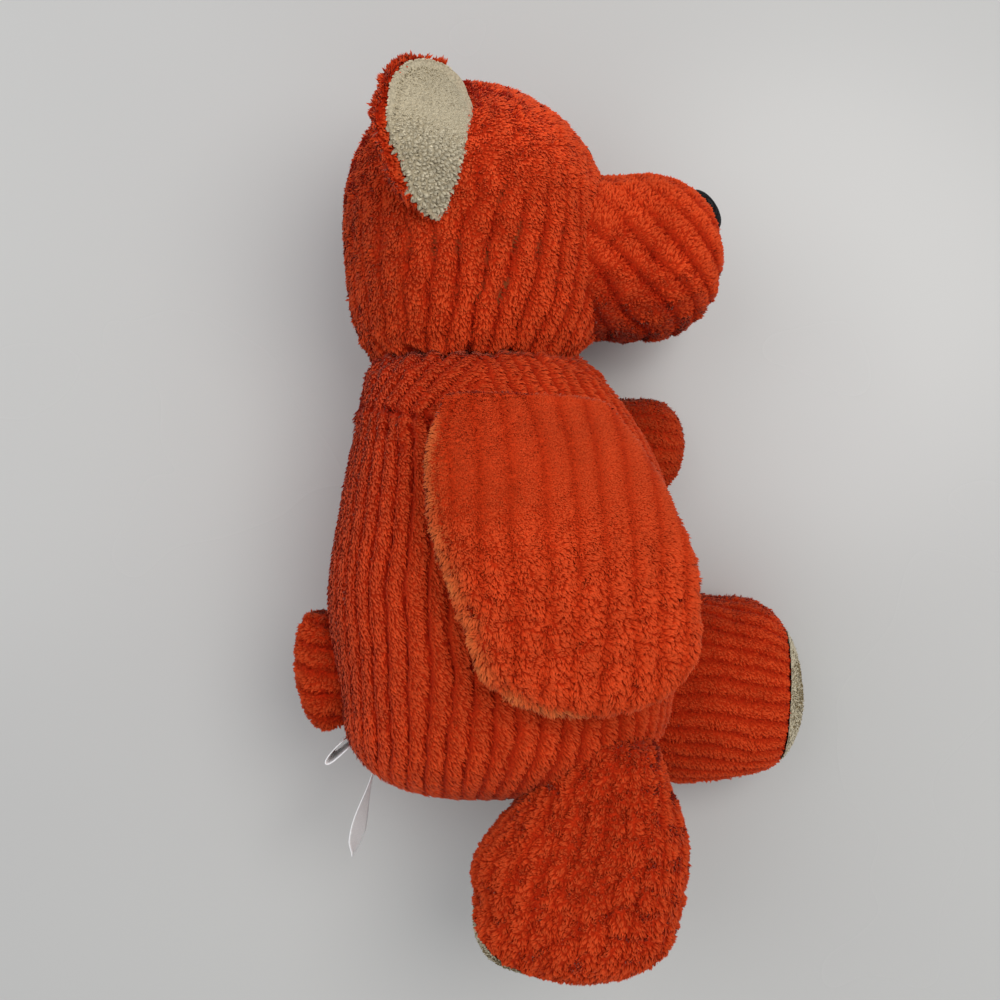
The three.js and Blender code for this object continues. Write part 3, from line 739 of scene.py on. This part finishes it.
def lift_out(cloth, tree, clearance):
    """Moves what lies inside another cloth, or too close to it, to just outside it."""
    flat = cloth.place.reshape(-1, 3)
    depth, nearest, normals = depth_in(tree, flat)
    move = depth > -clearance
    flat = np.where(move[:, None], nearest + normals * clearance, flat)
    cloth.place = flat.reshape(cloth.place.shape)


def snap_to_plane(cloth, point, way, depth=2.2):
    """Pulls the grid points just past a plane back onto it, and gives how far past it each one was."""
    past = (cloth.place - point) @ way
    near = (past > 0) & (past < depth)
    cloth.place = np.where(near[..., None], cloth.place - way * past[..., None], cloth.place)
    return past


def ride_whole(pieces, limb):
    for piece in pieces:
        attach(piece, limb)


def blend_cord(pieces, origin, way):
    """Bakes the placement of cord pieces into their meshes."""
    start, way = Vector(origin) * MM, Vector(way) * MM
    for piece in pieces:
        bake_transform(piece)


# Body and head

def wales_round(cloth, pitch, keep):
    """Counts wales round a form: keep is how far their number stays the same towards a narrower end."""
    return (keep * cloth.widest_arc + (1 - keep) * cloth.arc) / pitch


NECK_BACK, NECK_PINCH, TUCK_PINCH = -8, 0.07, 0.25


def draw_in_at_neck(cloth, near, tuck):
    """Draws a form in towards the neck seam, and tucks its last rings under the other form."""
    pinch = 1 - NECK_PINCH * near**2 - TUCK_PINCH * tuck
    cloth.place[..., 0] = (cloth.place[..., 0] - NECK_BACK) * pinch + NECK_BACK
    cloth.place[..., 2] = (cloth.place[..., 2] - MIDPLANE) * pinch + MIDPLANE
    cloth.read_directions()


BODY_PITCH, BODY_DEPTH = 7.6, 2.5
YOKE_AT, YOKE_SLOPE, YOKE_BACK = 67.4, 0.224, 41.5


def build_body():
    cloth = Cloth(BODY, (np.eye(3), np.array([0, 0, MIDPLANE])), 1.2, 380, stop=NECK_AT + NECK_TUCK)
    x, y = cloth.local[..., 0], cloth.local[..., 1]
    keep = 0.25 + 0.6 * step_up(y, -50, 30)
    wander = 0.10 * ripple(cloth.local, 38, 11) + 0.05 * ripple(cloth.local, 12, 14)
    phase = wales_round(cloth, BODY_PITCH, keep) + wander + 0.3
    yoke = YOKE_AT - YOKE_SLOPE * (x + YOKE_BACK)
    above = step_up(y, yoke - 0.6, yoke + 0.6) * step_up(-x, 2, 12)
    seam_line = cloth.arc.shape[1] // 2
    from_seam = cloth.arc - cloth.arc[:, seam_line:seam_line + 1]
    slanted = (y - yoke) * 0.6 * step_up(np.abs(from_seam), 2, 14)
    gathered = phase[:, seam_line:seam_line + 1] + (from_seam * 1.12 + slanted) / BODY_PITCH
    phase = np.where(above > 0.5, gathered, phase)
    draw_in_at_neck(cloth, step_up(y, NECK_AT - 9, NECK_AT + 1), step_up(y, NECK_AT, NECK_AT + NECK_TUCK))
    cloth.settle()
    cloth.ribs(phase, BODY_DEPTH * step_up(y, -71, -52), 3.2)
    cloth.read_directions()
    dashes = 0.6 + 0.4 * np.sin(x * TAU / 5.2 + ripple(cloth.local, 20, 15))
    puckers = step_up(ripple(cloth.local, 8, 16), 0.9, 1.6) * hill(y - yoke + 4, 8) * step_up(-x, 22, 30)
    seam = hill(y - yoke, 1.1) * step_up(-x, 4, 14) * step_up(x, -52, -44) * dashes
    seam += 0.4 * hill(cloth.back_edge, 1.2)
    # The seam and the puckers get painted shade along with their dent.
    cloth.dent(seam + puckers, 1.3)
    gather = step_up(y, NECK_AT - 14, NECK_AT) * ripple(cloth.local, 9, 12)
    gather += hill(y - yoke + 4, 6) * step_up(-x, 10, 25) * ripple(cloth.local, 10, 13) * 0.8
    cloth.push(gather * 0.8)
    cloth.read_directions()
    cloth.above_floor()
    cloth.density = 0.5 + 0.5 * step_up(cloth.place[..., 2], 4, 26)
    # Painted light: the pile is lighter along the back edge as a painted sheen, and darker towards the front
    # as painted shade.
    cloth.bright = 0.15 - 0.45 * step_up(x, -48, -20)
    # Calm pile along the back edge, which also lightens the painted root shade there.
    cloth.calm = 0.75 * step_up(-x, 40, 56)
    return cloth


HEAD_PITCH = 9.2


def build_head():
    cloth = Cloth(HEAD, (np.eye(3), np.array([0, 0, MIDPLANE])), 1.2, 340, start=NECK_AT - NECK_TUCK)
    x, y = cloth.local[..., 0], cloth.local[..., 1]
    keep = 0.75 - 0.45 * step_up(y, 110, 170)
    wander = 0.14 * ripple(cloth.local, 30, 21) + 0.07 * ripple(cloth.local, 11, 24)
    phase = wales_round(cloth, HEAD_PITCH, keep) + wander + 0.028 * (y - 95) * hill(x + 6, 34)
    near = 1 - step_up(y, NECK_AT - 1, NECK_AT + 9)
    draw_in_at_neck(cloth, near, 1 - step_up(y, NECK_AT - NECK_TUCK, NECK_AT))
    cloth.settle()
    middle_face = hill(x + 4, 26) * hill(y - 112, 24)
    ribbed = (1 - step_up(y, 114, 158)) * (0.45 + 0.55 * hill(x - 4, 34))
    cloth.ribs(phase, 0.35 + 1.9 * ribbed + 0.4 * middle_face, 3.0, 0.15 + 0.85 * ribbed)
    cloth.read_directions()
    gather = (1 - step_up(y, NECK_AT, NECK_AT + 12)) * ripple(cloth.local, 9, 22)
    cloth.push(gather * 0.8)
    cloth.read_directions()
    cloth.above_floor()
    patchy = step_up(ripple(cloth.local, 14, 25), -0.6, 0.4)
    thin = middle_face * step_up(np.abs(cloth.side), 0.62, 0.95) * patchy
    cloth.backing = 0.9 * thin
    # Painted light: lighter towards the top of the head as a painted highlight, and painted shade elsewhere,
    # deepest on its back side below that.
    cloth.bright = 0.85 * step_up(y, 132, 165) - 0.2 - 0.35 * step_up(-x, 18, 48) * (1 - step_up(y, 140, 175))
    cloth.density = (0.5 + 0.5 * step_up(cloth.place[..., 2], 4, 26)) * (1 - 0.75 * thin)
    return cloth


EYE_AT, EYE_SPREAD, EYE_CLEAR, EYE_SINK = 158.0, 11.0, 3.2, 1.4


def eye_place(side):
    middle, half, _, tall = section_at(HEAD, EYE_AT)
    inward = rounding(EYE_SPREAD / tall, HEAD["fullness"])
    return (middle + half * inward - EYE_SINK, EYE_AT, MIDPLANE + side * EYE_SPREAD)


def near_an_eye(cloth):
    """Where the pile is left off, so that it doesn't hang over an eye."""
    near = [np.linalg.norm(cloth.place - np.array(eye_place(side)), axis=-1) for side in (1, -1)]
    return np.minimum(*near) < EYE_CLEAR


body = build_body()
body_tree = tree_of(body)
head = build_head()
head_tree = tree_of(head)

body_cloth = cloth_object("body_cloth", body, cord_cloth)
body_pile = pile_object("body_pile", body, cord_pile, 101, per_mm2=1.8, length=2.6, width=0.66, up=0.42,
                        down=0.62, over=-0.85, jitter=0.16, swirl=0.12, clump=0.2, grain=1.7, contrast=0.55)
# Only the ground of the head shows its bare backing, and not its pile.
head.backing_and_sheen = head.backing
head_cloth = cloth_object("head_cloth", head, cord_cloth)
head.backing_and_sheen = head.backing * 0
head_pile = pile_object("head_pile", head, cord_pile, 102, per_mm2=2.3, length=2.1, width=0.7, up=0.75,
                        down=0.75, over=-0.35, jitter=0.25, swirl=0.3, clump=0.4, grain=1.7, contrast=0.55,
                        skip=near_an_eye(head))
for piece in (body_cloth, body_pile, head_cloth, head_pile):
    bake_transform(piece)
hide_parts("body_skin", "body_stuffing")
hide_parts("head_skin", "head_stuffing")


# Muzzle, nose and eyes

MUZZLE_PITCH = 8.6


def build_muzzle():
    pose = pose_of((0, MUZZLE_AT, MIDPLANE), (1, 0, 0), (0, 0, 1))
    cloth = Cloth(MUZZLE, pose, 1.15, 230)
    cloth.settle()
    x, y = cloth.place[..., 0], cloth.place[..., 1]
    phase = (x * 0.72 + y * 0.70) / MUZZLE_PITCH + 0.12 * ripple(cloth.place, 30, 31)
    low = step_up(x * 0.5 - y + 108, -14, 16)
    cloth.ribs(phase, 0.4 + 1.9 * low, 2.6, 0.2 + 0.75 * low)
    cloth.read_directions()
    # Painted shade: the muzzle is darker on its lower side, towards the body.
    cloth.bright = 0.05 - 0.5 * step_up(108 - y, -10, 14)
    return cloth


muzzle = build_muzzle()
muzzle_inside = depth_of(muzzle, head_tree)
muzzle_cloth = cloth_object("muzzle_cloth", muzzle, cord_cloth, muzzle_inside > 1.5)
muzzle_pile = pile_object("muzzle_pile", muzzle, cord_pile, 103, per_mm2=2.3, length=2.0, width=0.7,
                          up=0.7, over=0.5, down=-0.45, jitter=0.25, swirl=0.4, clump=0.4, grain=1.8,
                          contrast=0.55, skip=muzzle_inside > -0.3)
ride_whole((muzzle_cloth, muzzle_pile), "head")
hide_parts("muzzle_skin", "muzzle_stuffing")


def stitched_oval(name, centre, half, slope, stitches, node):
    """A small cushion of parallel satin stitches."""
    rings, points = 40, 72
    u = np.linspace(0.02, math.pi - 0.02, rings)[:, None]
    v = (np.arange(points) * TAU / points)[None, :]
    shape = np.stack([np.cos(v) * np.sin(u), np.sin(v) * np.sin(u), np.cos(u) + 0 * v], -1)
    ridge = np.abs(np.sin(shape[..., 2] * stitches * math.pi / 2))
    local = shape * (np.array(half) * (0.90 + 0.10 * ridge[..., None]))
    c, s = math.cos(math.radians(slope)), math.sin(math.radians(slope))
    x, y, z = local[..., 0], local[..., 1], local[..., 2]
    turned = np.stack([x * c - y * s, x * s + y * c, z], -1)
    place = (turned + np.array(centre)).reshape(-1, 3)
    faces = grid_faces(rings, points)[0].reshape(-1, 4).tolist()
    faces += [list(range(points))[::-1], list(range((rings - 1) * points, rings * points))]
    # The thread's colour value follows the ridges, darker between the stitches as painted shade.
    made = make_object(name, place, faces, {"tip": ridge.reshape(-1)}, black_thread)
    ride_whole([made], "head")
    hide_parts(node)


NOSE_HALF, NOSE_SLOPE, NOSE_STITCHES = (3.4, 8.5, 12), 36.0, 17
EYE_HALF, EYE_SLOPE, EYE_STITCHES = (1.2, 3.4, 3), 25, 7
nose_turn = math.sin(math.radians(90 - NOSE_SLOPE)) ** (2 / MUZZLE["fullness"])
nose_out = MUZZLE["rows"][-1, 0] + MUZZLE["end_cap"] * nose_turn
nose_middle, nose_half = section_at(MUZZLE, nose_out)[:2]
nose_place = (nose_out - 0.8, MUZZLE_AT + (nose_half - nose_middle) - 0.6, MIDPLANE)
stitched_oval("nose_thread", nose_place, NOSE_HALF, NOSE_SLOPE, NOSE_STITCHES, "nose")
stitched_oval("eye_thread_right", eye_place(1), EYE_HALF, EYE_SLOPE, EYE_STITCHES, "eye_right")
stitched_oval("eye_thread_left", eye_place(-1), EYE_HALF, EYE_SLOPE, EYE_STITCHES, "eye_left")


# Ears

EAR_INNER_ROWS = [(-16, 14.5, 4), (-6, 26, 4), (8, 30, 3)]
EAR_OUTER_ROWS = [(-16, 23, 4), (-6, 31.5, 4), (8, 32.6, 3)]
COVERED = ([-16, -6, 8, 28], [10.0, 7.0, 4.2, 2.5])
EAR_LIFT, EAR_LIFT_LENGTH, EAR_LIFT_REACH = 6.0, 24.0, 36.0
EAR_RISE, EAR_DRIFT = 44.0, 5.0
PRESSED_EAR_AT = (-14.0, 148.0, 3.05)
EAR_PITCH = 7.2


def under_head_top(back, at):
    middle, half, _, tall = section_at(HEAD, at)
    rise = tall * rounding(abs((-back - middle) / half), HEAD["fullness"])
    return np.array([-back, at, MIDPLANE + rise - 1])


def ear_pose(free):
    """The free ear stands off the head along its seam, and the other lies flat below the head."""
    if not free:
        return pose_of(PRESSED_EAR_AT, (0, 1, 0), (0, 0, -1))
    low, high = under_head_top(22.0, 128.0), under_head_top(12.0, 168.0)
    line, rise = unit(high - low), math.radians(EAR_RISE)
    outward = np.array([-math.cos(rise), 0, math.sin(rise)])
    return pose_of((low + high) / 2, line, np.cross(line, outward))


def ear_layer(free, face_side, thick, rows):
    """One layer of an ear: a drop-shaped pillow, flat at its seam and lifted where it follows the head."""
    low, high = (0.0, thick) if face_side > 0 else (thick, 0.0)
    drift = EAR_DRIFT if free else -EAR_DRIFT
    rows = [(at, *((a, b) if free else (b, a)), low, high) for at, a, b in rows]
    shape = form(rows, start_cap=6, start_drift=drift, end_cap=20, end_drift=drift, fullness=2.1)
    cloth = Cloth(shape, ear_pose(free), 0.8, 130)
    flat = cloth.local.copy()
    _, _, rise, tall = (v[:, None] for v in sections_at(shape, cloth.at))
    level = (flat[..., 2] - rise) / np.maximum(tall, 1e-6)
    plump = tall / (thick / 2)
    flat[..., 2] = face_side * (np.clip(face_side * level, 0, 1) * thick * plump + 0.15)
    if free:
        bow = np.maximum(0, 1 - (flat[..., 1] / EAR_LIFT_LENGTH) ** 2)
        flat[..., 2] += EAR_LIFT * bow * (1 + flat[..., 0] / EAR_LIFT_REACH)
    cloth.local = flat
    cloth.place = placed(flat, cloth.pose)
    cloth.read_directions()
    cloth.level = level * face_side
    return cloth


def build_ear(free, name):
    back = ear_layer(free, -1, 5.0 if free else 2.9, EAR_OUTER_ROWS)
    front = ear_layer(free, 1, 2.9, EAR_INNER_ROWS)
    cloths = []
    for cloth, layer, cloth_look, pile_look, slot, seed in (
        (back, "back", cord_cloth, cord_pile, "cord", 120),
        (front, "front", cream_cloth, cream_pile, "cream", 121),
    ):
        cloth.settle(0.6 if layer == "back" else 0.8)
        if layer == "back":
            cloth.ribs(cloth.local[..., 0] / EAR_PITCH + 0.2, 0.6, 3.0, 0.4)
            cloth.read_directions()
            # Painted shade: the back layer's pile is a little darker.
            style = dict(per_mm2=2.8, length=2.3, width=0.7, up=0.7, down=0.2, over=-0.4, clump=0.4,
                         grain=1.9, contrast=0.55, bright=-0.12)
        else:
            lower = 1 - step_up(cloth.local[..., 1] - 0.25 * cloth.local[..., 0], -4, 12)
            cloth.long = 0.45 + 0.55 * lower
            cloth.calm = 1 - lower
            # Painted shade: the lower part of the cream face is darker, and the upper part a little lighter.
            cloth.bright = 0.08 - 0.65 * lower
            style = dict(per_mm2=4.4, length=1.7, width=0.68, up=1.0, down=0.4, over=-0.25, jitter=0.16,
                         swirl=0.2, swirl_size=14, clump=0.75, grain=1.45, contrast=1.25)
        cloth.fringe_at_edges(1.0, 1.0, 2.5)
        cloth.above_floor()
        inside = depth_of(cloth, head_tree)
        made = cloth_object(f"ear_{layer}_cloth_{name}", cloth, cloth_look, inside > 1.2, 0.1)
        under = np.interp(cloth.at, *COVERED)[:, None] if layer == "back" else -1.0
        edge = cloth.back_edge if free else cloth.front_edge
        hidden = ((cloth.level < -0.02) & (edge > under)) | (inside > 0)
        pile = pile_object(f"ear_{layer}_pile_{name}", cloth, pile_look, seed, skip=hidden, **style)
        ride_whole((made, pile), f"ear_{name}")
        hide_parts(f"ear_{layer}_{name}")
        cloths.append(made)
    return cloths


ear_cloths = build_ear(True, "right") + build_ear(False, "left")


# Arms

SHOULDER_FRONT, SHOULDER_AT, ARM_PITCH = 8.0, 70.0, 9.6


def build_free_arm():
    middle, half, _, tall = section_at(BODY, SHOULDER_AT)
    rise = tall * rounding((SHOULDER_FRONT - middle) / half, BODY["fullness"])
    origin = (SHOULDER_FRONT, SHOULDER_AT, MIDPLANE + rise - 1.5)
    slope, roll = math.radians(8), math.radians(13.5)
    pose = pose_of(origin, (0, -math.cos(slope), math.sin(slope)), (math.sin(roll), 0, math.cos(roll)))
    cloth = Cloth(ARM, pose, 1.15, 270)
    cloth.settle()
    x, y = cloth.local[..., 0], cloth.local[..., 1]
    phase = x / ARM_PITCH + 0.10 * ripple(cloth.local, 40, 41)
    cloth.ribs(phase, 0.45 + 0.25 * step_up(y, 15, 50), 2.4, 0.42 - 0.1 * step_up(y, 15, 50))
    cloth.read_directions()
    # Painted sheen: the pile turns pale along the arm's front edge, and a little along its back edge.
    band = hill(cloth.front_edge, 6.0)
    other = hill(cloth.back_edge, 2.2)
    patchy = 0.75 + 0.25 * ripple(cloth.local, 9, 42)
    cloth.pale = (0.85 * band + 0.2 * other) * patchy * step_up(y, 4, 16)
    cloth.fringe_at_edges(1.3, 0.9, 3.8)
    cloth.fringe = cloth.fringe * step_up(y, 1, 6)
    creases = hill(cloth.front_edge - 5.4, 0.9) * 0.5
    creases = creases + hill(np.minimum(cloth.front_edge, cloth.back_edge), 0.7) * 0.4
    # The creases get painted shade along with their dent.
    cloth.dent(creases * step_up(y, 1, 6), 0.8)
    cloth.read_directions()
    lift_out(cloth, body_tree, 0.5)
    cloth.read_directions()
    cloth.long = 0.6 + 0.4 * step_up(y, 24, 62)
    cloth.calm = 1 - 0.8 * step_up(y, 24, 72)
    under = cloth.normal[..., 2] < -0.35
    cloth.density = np.where(under, 0.4, 1.0)
    return cloth, pose


arm, arm_pose = build_free_arm()
arm_cloth = cloth_object("arm_cloth_right", arm, cord_cloth, None, 0.25)
# The painted sheen on the arm's rim shows in the pile alone.
arm.backing_and_sheen = arm.pale
arm_pile = pile_object("arm_pile_right", arm, cord_pile, 104, per_mm2=5.0, length=2.3, width=0.55, up=0.8,
                       over=0.25, down=-0.5, swirl=0.4, swirl_size=6, clump=0.55, grain=1.8, jitter=0.2,
                       contrast=0.65)
blend_cord((arm_cloth, arm_pile), arm_pose[1], arm_pose[0][:, 1])
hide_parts("arm_skin_right", "arm_stuffing_right")


def build_limb(shape, pose, points, step, pitch, depth, seed, keep=0.6, clear=1.0, slant=0.0):
    cloth = Cloth(shape, pose, step, points)
    cloth.settle()
    wander = 0.12 * ripple(cloth.local, 30, seed)
    slanted = slant * cloth.local[..., 1] / pitch
    cloth.ribs(wales_round(cloth, pitch, keep) + slanted + wander, depth, 3.0, clear)
    cloth.read_directions()
    cloth.above_floor()
    cloth.inside = depth_of(cloth, body_tree)
    cloth.density = 0.5 + 0.5 * step_up(cloth.place[..., 2], 2, 12)
    return cloth


folded_pose = pose_of((8, 60, 17), flat_turn(-4), (0, 0, 1))
folded = build_limb(FOLDED_ARM, folded_pose, 150, 1.2, 7.0, 0.8, 51, clear=0.5)
folded_cloth = cloth_object("arm_cloth_left", folded, cord_cloth, folded.inside > 1.5)
# Painted shade: the folded arm's pile is darkened, as it lies in the free arm's shadow.
folded_pile = pile_object("arm_pile_left", folded, cord_pile, 105, per_mm2=1.9, length=2.2, width=0.7,
                          skip=folded.inside > -0.2, down=-0.6, over=-0.5, clump=0.3, grain=1.7, contrast=0.4,
                          bright=-0.8)
blend_cord((folded_cloth, folded_pile), folded_pose[1], folded_pose[0][:, 1])
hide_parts("arm_skin_left", "arm_stuffing_left")


# Legs and foot pads

HIP_FRONT, RIGHT_HIP_AT, LEFT_HIP_AT = 38.5, -53.0, -46.0
RIGHT_SOLE_AT, LEFT_SOLE_AT = 65.0, 69.3
RIGHT_LEG_TURN, LEFT_LEG_TURN = -99.0, 6.0
RIGHT_SOLE_TURN, LEFT_SOLE_TURN, RIGHT_SOLE_TILT = 16.0, 9.0, -31.0
LEFT_WALE_SLANT = 0.3
# Painted shade on both legs' pile, deeper on the right leg.
RIGHT_LEG_PILE = dict(per_mm2=2.9, length=2.2, width=0.6, up=0.95, down=-0.5, over=-0.2, swirl=0.5,
                      swirl_size=8, clump=0.5, grain=1.9, contrast=0.5, bright=-0.35)
LEFT_LEG_PILE = dict(per_mm2=1.9, length=1.9, width=0.65, up=0.5, down=-0.5, over=-0.6, clump=0.25,
                     grain=1.7, contrast=0.4, bright=-0.08)
LEG_BLEND_START, LEG_BLEND_END = -2.0, 12.0


def build_leg(side, name):
    right = side > 0
    turn = RIGHT_LEG_TURN if right else LEFT_LEG_TURN
    hip_at = RIGHT_HIP_AT if right else LEFT_HIP_AT
    origin = np.array([HIP_FRONT, hip_at, MIDPLANE + side * (MIDPLANE + FLOOR_CUT - 28)])
    pose = pose_of(origin, flat_turn(turn), (0, 0, 1))
    sole = flat_turn(turn - (RIGHT_SOLE_TURN if right else LEFT_SOLE_TURN))
    sole[2] = math.tan(math.radians(RIGHT_SOLE_TILT)) if right else 0.0
    sole = unit(sole)
    sole_point = origin + flat_turn(turn) * (RIGHT_SOLE_AT if right else LEFT_SOLE_AT)
    shape = RIGHT_LEG if right else LEFT_LEG
    pitch, depth, clear = (8.2, 0.9, 0.5) if right else (6.6, 1.5, 0.85)
    slant = 0.0 if right else LEFT_WALE_SLANT
    leg = build_limb(shape, pose, 240, 1.1, pitch, depth, 61 + side, clear=clear, slant=slant)
    # The crease round the sole gets painted shade along with its dent.
    leg.dent(hill((leg.place - sole_point) @ sole, 1.2) * 0.8, 1.2)
    past = snap_to_plane(leg, sole_point, sole)
    leg.above_floor()
    # What lies deep in the body is left out, but only before LEG_BLEND_START along the leg.
    buried = (leg.inside > 8) & (leg.local[..., 1] < LEG_BLEND_START)
    cord = cloth_object(f"leg_cloth_{name}", leg, cord_cloth, buried | (past > 0))
    leg.read_directions()
    style = RIGHT_LEG_PILE if right else LEFT_LEG_PILE
    pile = pile_object(f"leg_pile_{name}", leg, cord_pile, 106 + side,
                       skip=(leg.inside > 2.5) | (past > (0.5 if right else -0.2)), **style)
    blend_cord((cord, pile), origin, flat_turn(turn))
    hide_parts(f"leg_skin_{name}", f"leg_stuffing_{name}")
    pad = Cloth(shape, pose, 1.1, 240)
    pad.settle(1.0)
    pad.push(0.3 * ripple(pad.local, 22, 71))
    pad.read_directions()
    pad_past = -snap_to_plane(pad, sole_point, -sole)
    pad.above_floor()
    # Painted light: the pads are lightened, and their calm pile and ground get less painted shade.
    pad.calm = pad.calm + 1
    pad_cloth = cloth_object(f"foot_pad_cloth_{name}", pad, cream_cloth, pad_past < 0, 0.3)
    pad_pile = pile_object(f"foot_pad_pile_{name}", pad, cream_pile, 110 + side, per_mm2=4.4, length=1.1,
                           width=0.85, up=0.6, down=0.7, over=0.2, clump=0.25, grain=1.4, contrast=0.4,
                           bright=0.3, skip=pad_past < 0.3)
    ride_whole((pad_cloth, pad_pile), f"leg_{name}")
    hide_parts(f"foot_pad_{name}")
    return cord, pad_cloth


leg_pieces = build_leg(1, "right") + build_leg(-1, "left")


# Tail

TAIL_AT = -26.0
tail_middle, tail_half = section_at(BODY, TAIL_AT)[:2]
tail_pose = pose_of((tail_middle - tail_half + 1, TAIL_AT, MIDPLANE), (-1, 0, 0), (0, 0, 1))
tail = build_limb(TAIL, tail_pose, 130, 1.0, 9.5, 2.0, 81, keep=0.3)
tail_cloth = cloth_object("tail_cloth", tail, cord_cloth, tail.inside > 1.5)
# Painted shade: the tail's pile is darkened.
tail_pile = pile_object("tail_pile", tail, cord_pile, 107, per_mm2=2.2, length=2.3, width=0.7, up=0.6,
                        down=-0.4, over=0.4, clump=0.45, grain=1.9, contrast=0.5, bright=-0.7,
                        skip=tail.inside > -0.2)
blend_cord((tail_cloth, tail_pile), tail_pose[1], tail_pose[0][:, 1])
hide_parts("tail_skin", "tail_stuffing")


# Labels

def ribbon(node, path, leans, width, thick):
    """A blank satin strip along a path, leaning off the upright by leans at each place."""
    rows, columns = len(path), 12
    v = np.linspace(-0.5, 0.5, columns)[None, :, None]
    course = unit(np.gradient(path, axis=0))
    side = unit(np.cross(np.array([0, 0, 1.0]), course))[:, None]
    centre = path[:, None] + side * (v * leans[:, None, None]) + np.array([0, 0, 1.0]) * (v * width)
    front, back = centre + side * thick / 2, centre - side * thick / 2
    verts = np.concatenate([front.reshape(-1, 3), back.reshape(-1, 3)])
    faces = []
    count = rows * columns
    for i in range(rows - 1):
        for j in range(columns - 1):
            a = i * columns + j
            faces.append((a, a + 1, a + columns + 1, a + columns))
            faces.append((count + a, count + a + columns, count + a + columns + 1, count + a + 1))
    rim = list(range(columns)) + [i * columns + columns - 1 for i in range(1, rows)]
    rim += [(rows - 1) * columns + j for j in range(columns - 2, -1, -1)]
    rim += [i * columns for i in range(rows - 2, 0, -1)]
    for a, b in zip(rim, rim[1:] + rim[:1]):
        faces.append((b, a, count + a, count + b))
    made = make_object(f"{node}_satin", verts, faces, {}, white_satin)
    ride_whole([made], node)
    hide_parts(node)


def seam_start(at, height):
    middle, half = section_at(BODY, at)[:2]
    return np.array([middle - half, at, MIDPLANE + height])


LABEL_ROWS = 40
FOLDED_OUT, FOLDED_WIDTH, FOLDED_THICK = 10.0, 20, 0.35
LONG_OUT, LONG_WIDTH, LONG_THICK, LONG_STRETCH = 31, 18, 0.3, 1.04


def build_folded_label():
    """A short label folded double, its two ends caught in the seam."""
    t = np.linspace(0, 1, LABEL_ROWS)
    way = flat_turn(-139)
    side = np.array([-way[1], way[0], 0.0])
    out = np.sin(t * math.pi) ** 0.6 * FOLDED_OUT - 0.5
    gap = 1.3 * np.cos(t * math.pi) + 0.5 * np.sin(t * math.pi)
    path = seam_start(-50.5, 2) + out[:, None] * way + gap[:, None] * side
    ribbon("label_folded", path, np.full(LABEL_ROWS, 0.6), FOLDED_WIDTH, FOLDED_THICK)


def build_long_label():
    """A long label that hangs free and twists towards its end."""
    t = np.linspace(-0.04, 1, LABEL_ROWS)
    way = flat_turn(-98)
    side = np.array([-way[1], way[0], 0.0])
    path = seam_start(-61.5, -3) + (LONG_OUT * t)[:, None] * way
    path = path - (3.0 * np.sin(t * 2.0))[:, None] * side
    lean = -4.0 * step_up(t, 0.1, 0.75) * (1 - 0.75 * step_up(t, 0.82, 1.0))
    ribbon("label_long", path, lean, LONG_WIDTH, LONG_THICK)


build_folded_label()
build_long_label()


bpy.context.view_layer.update()
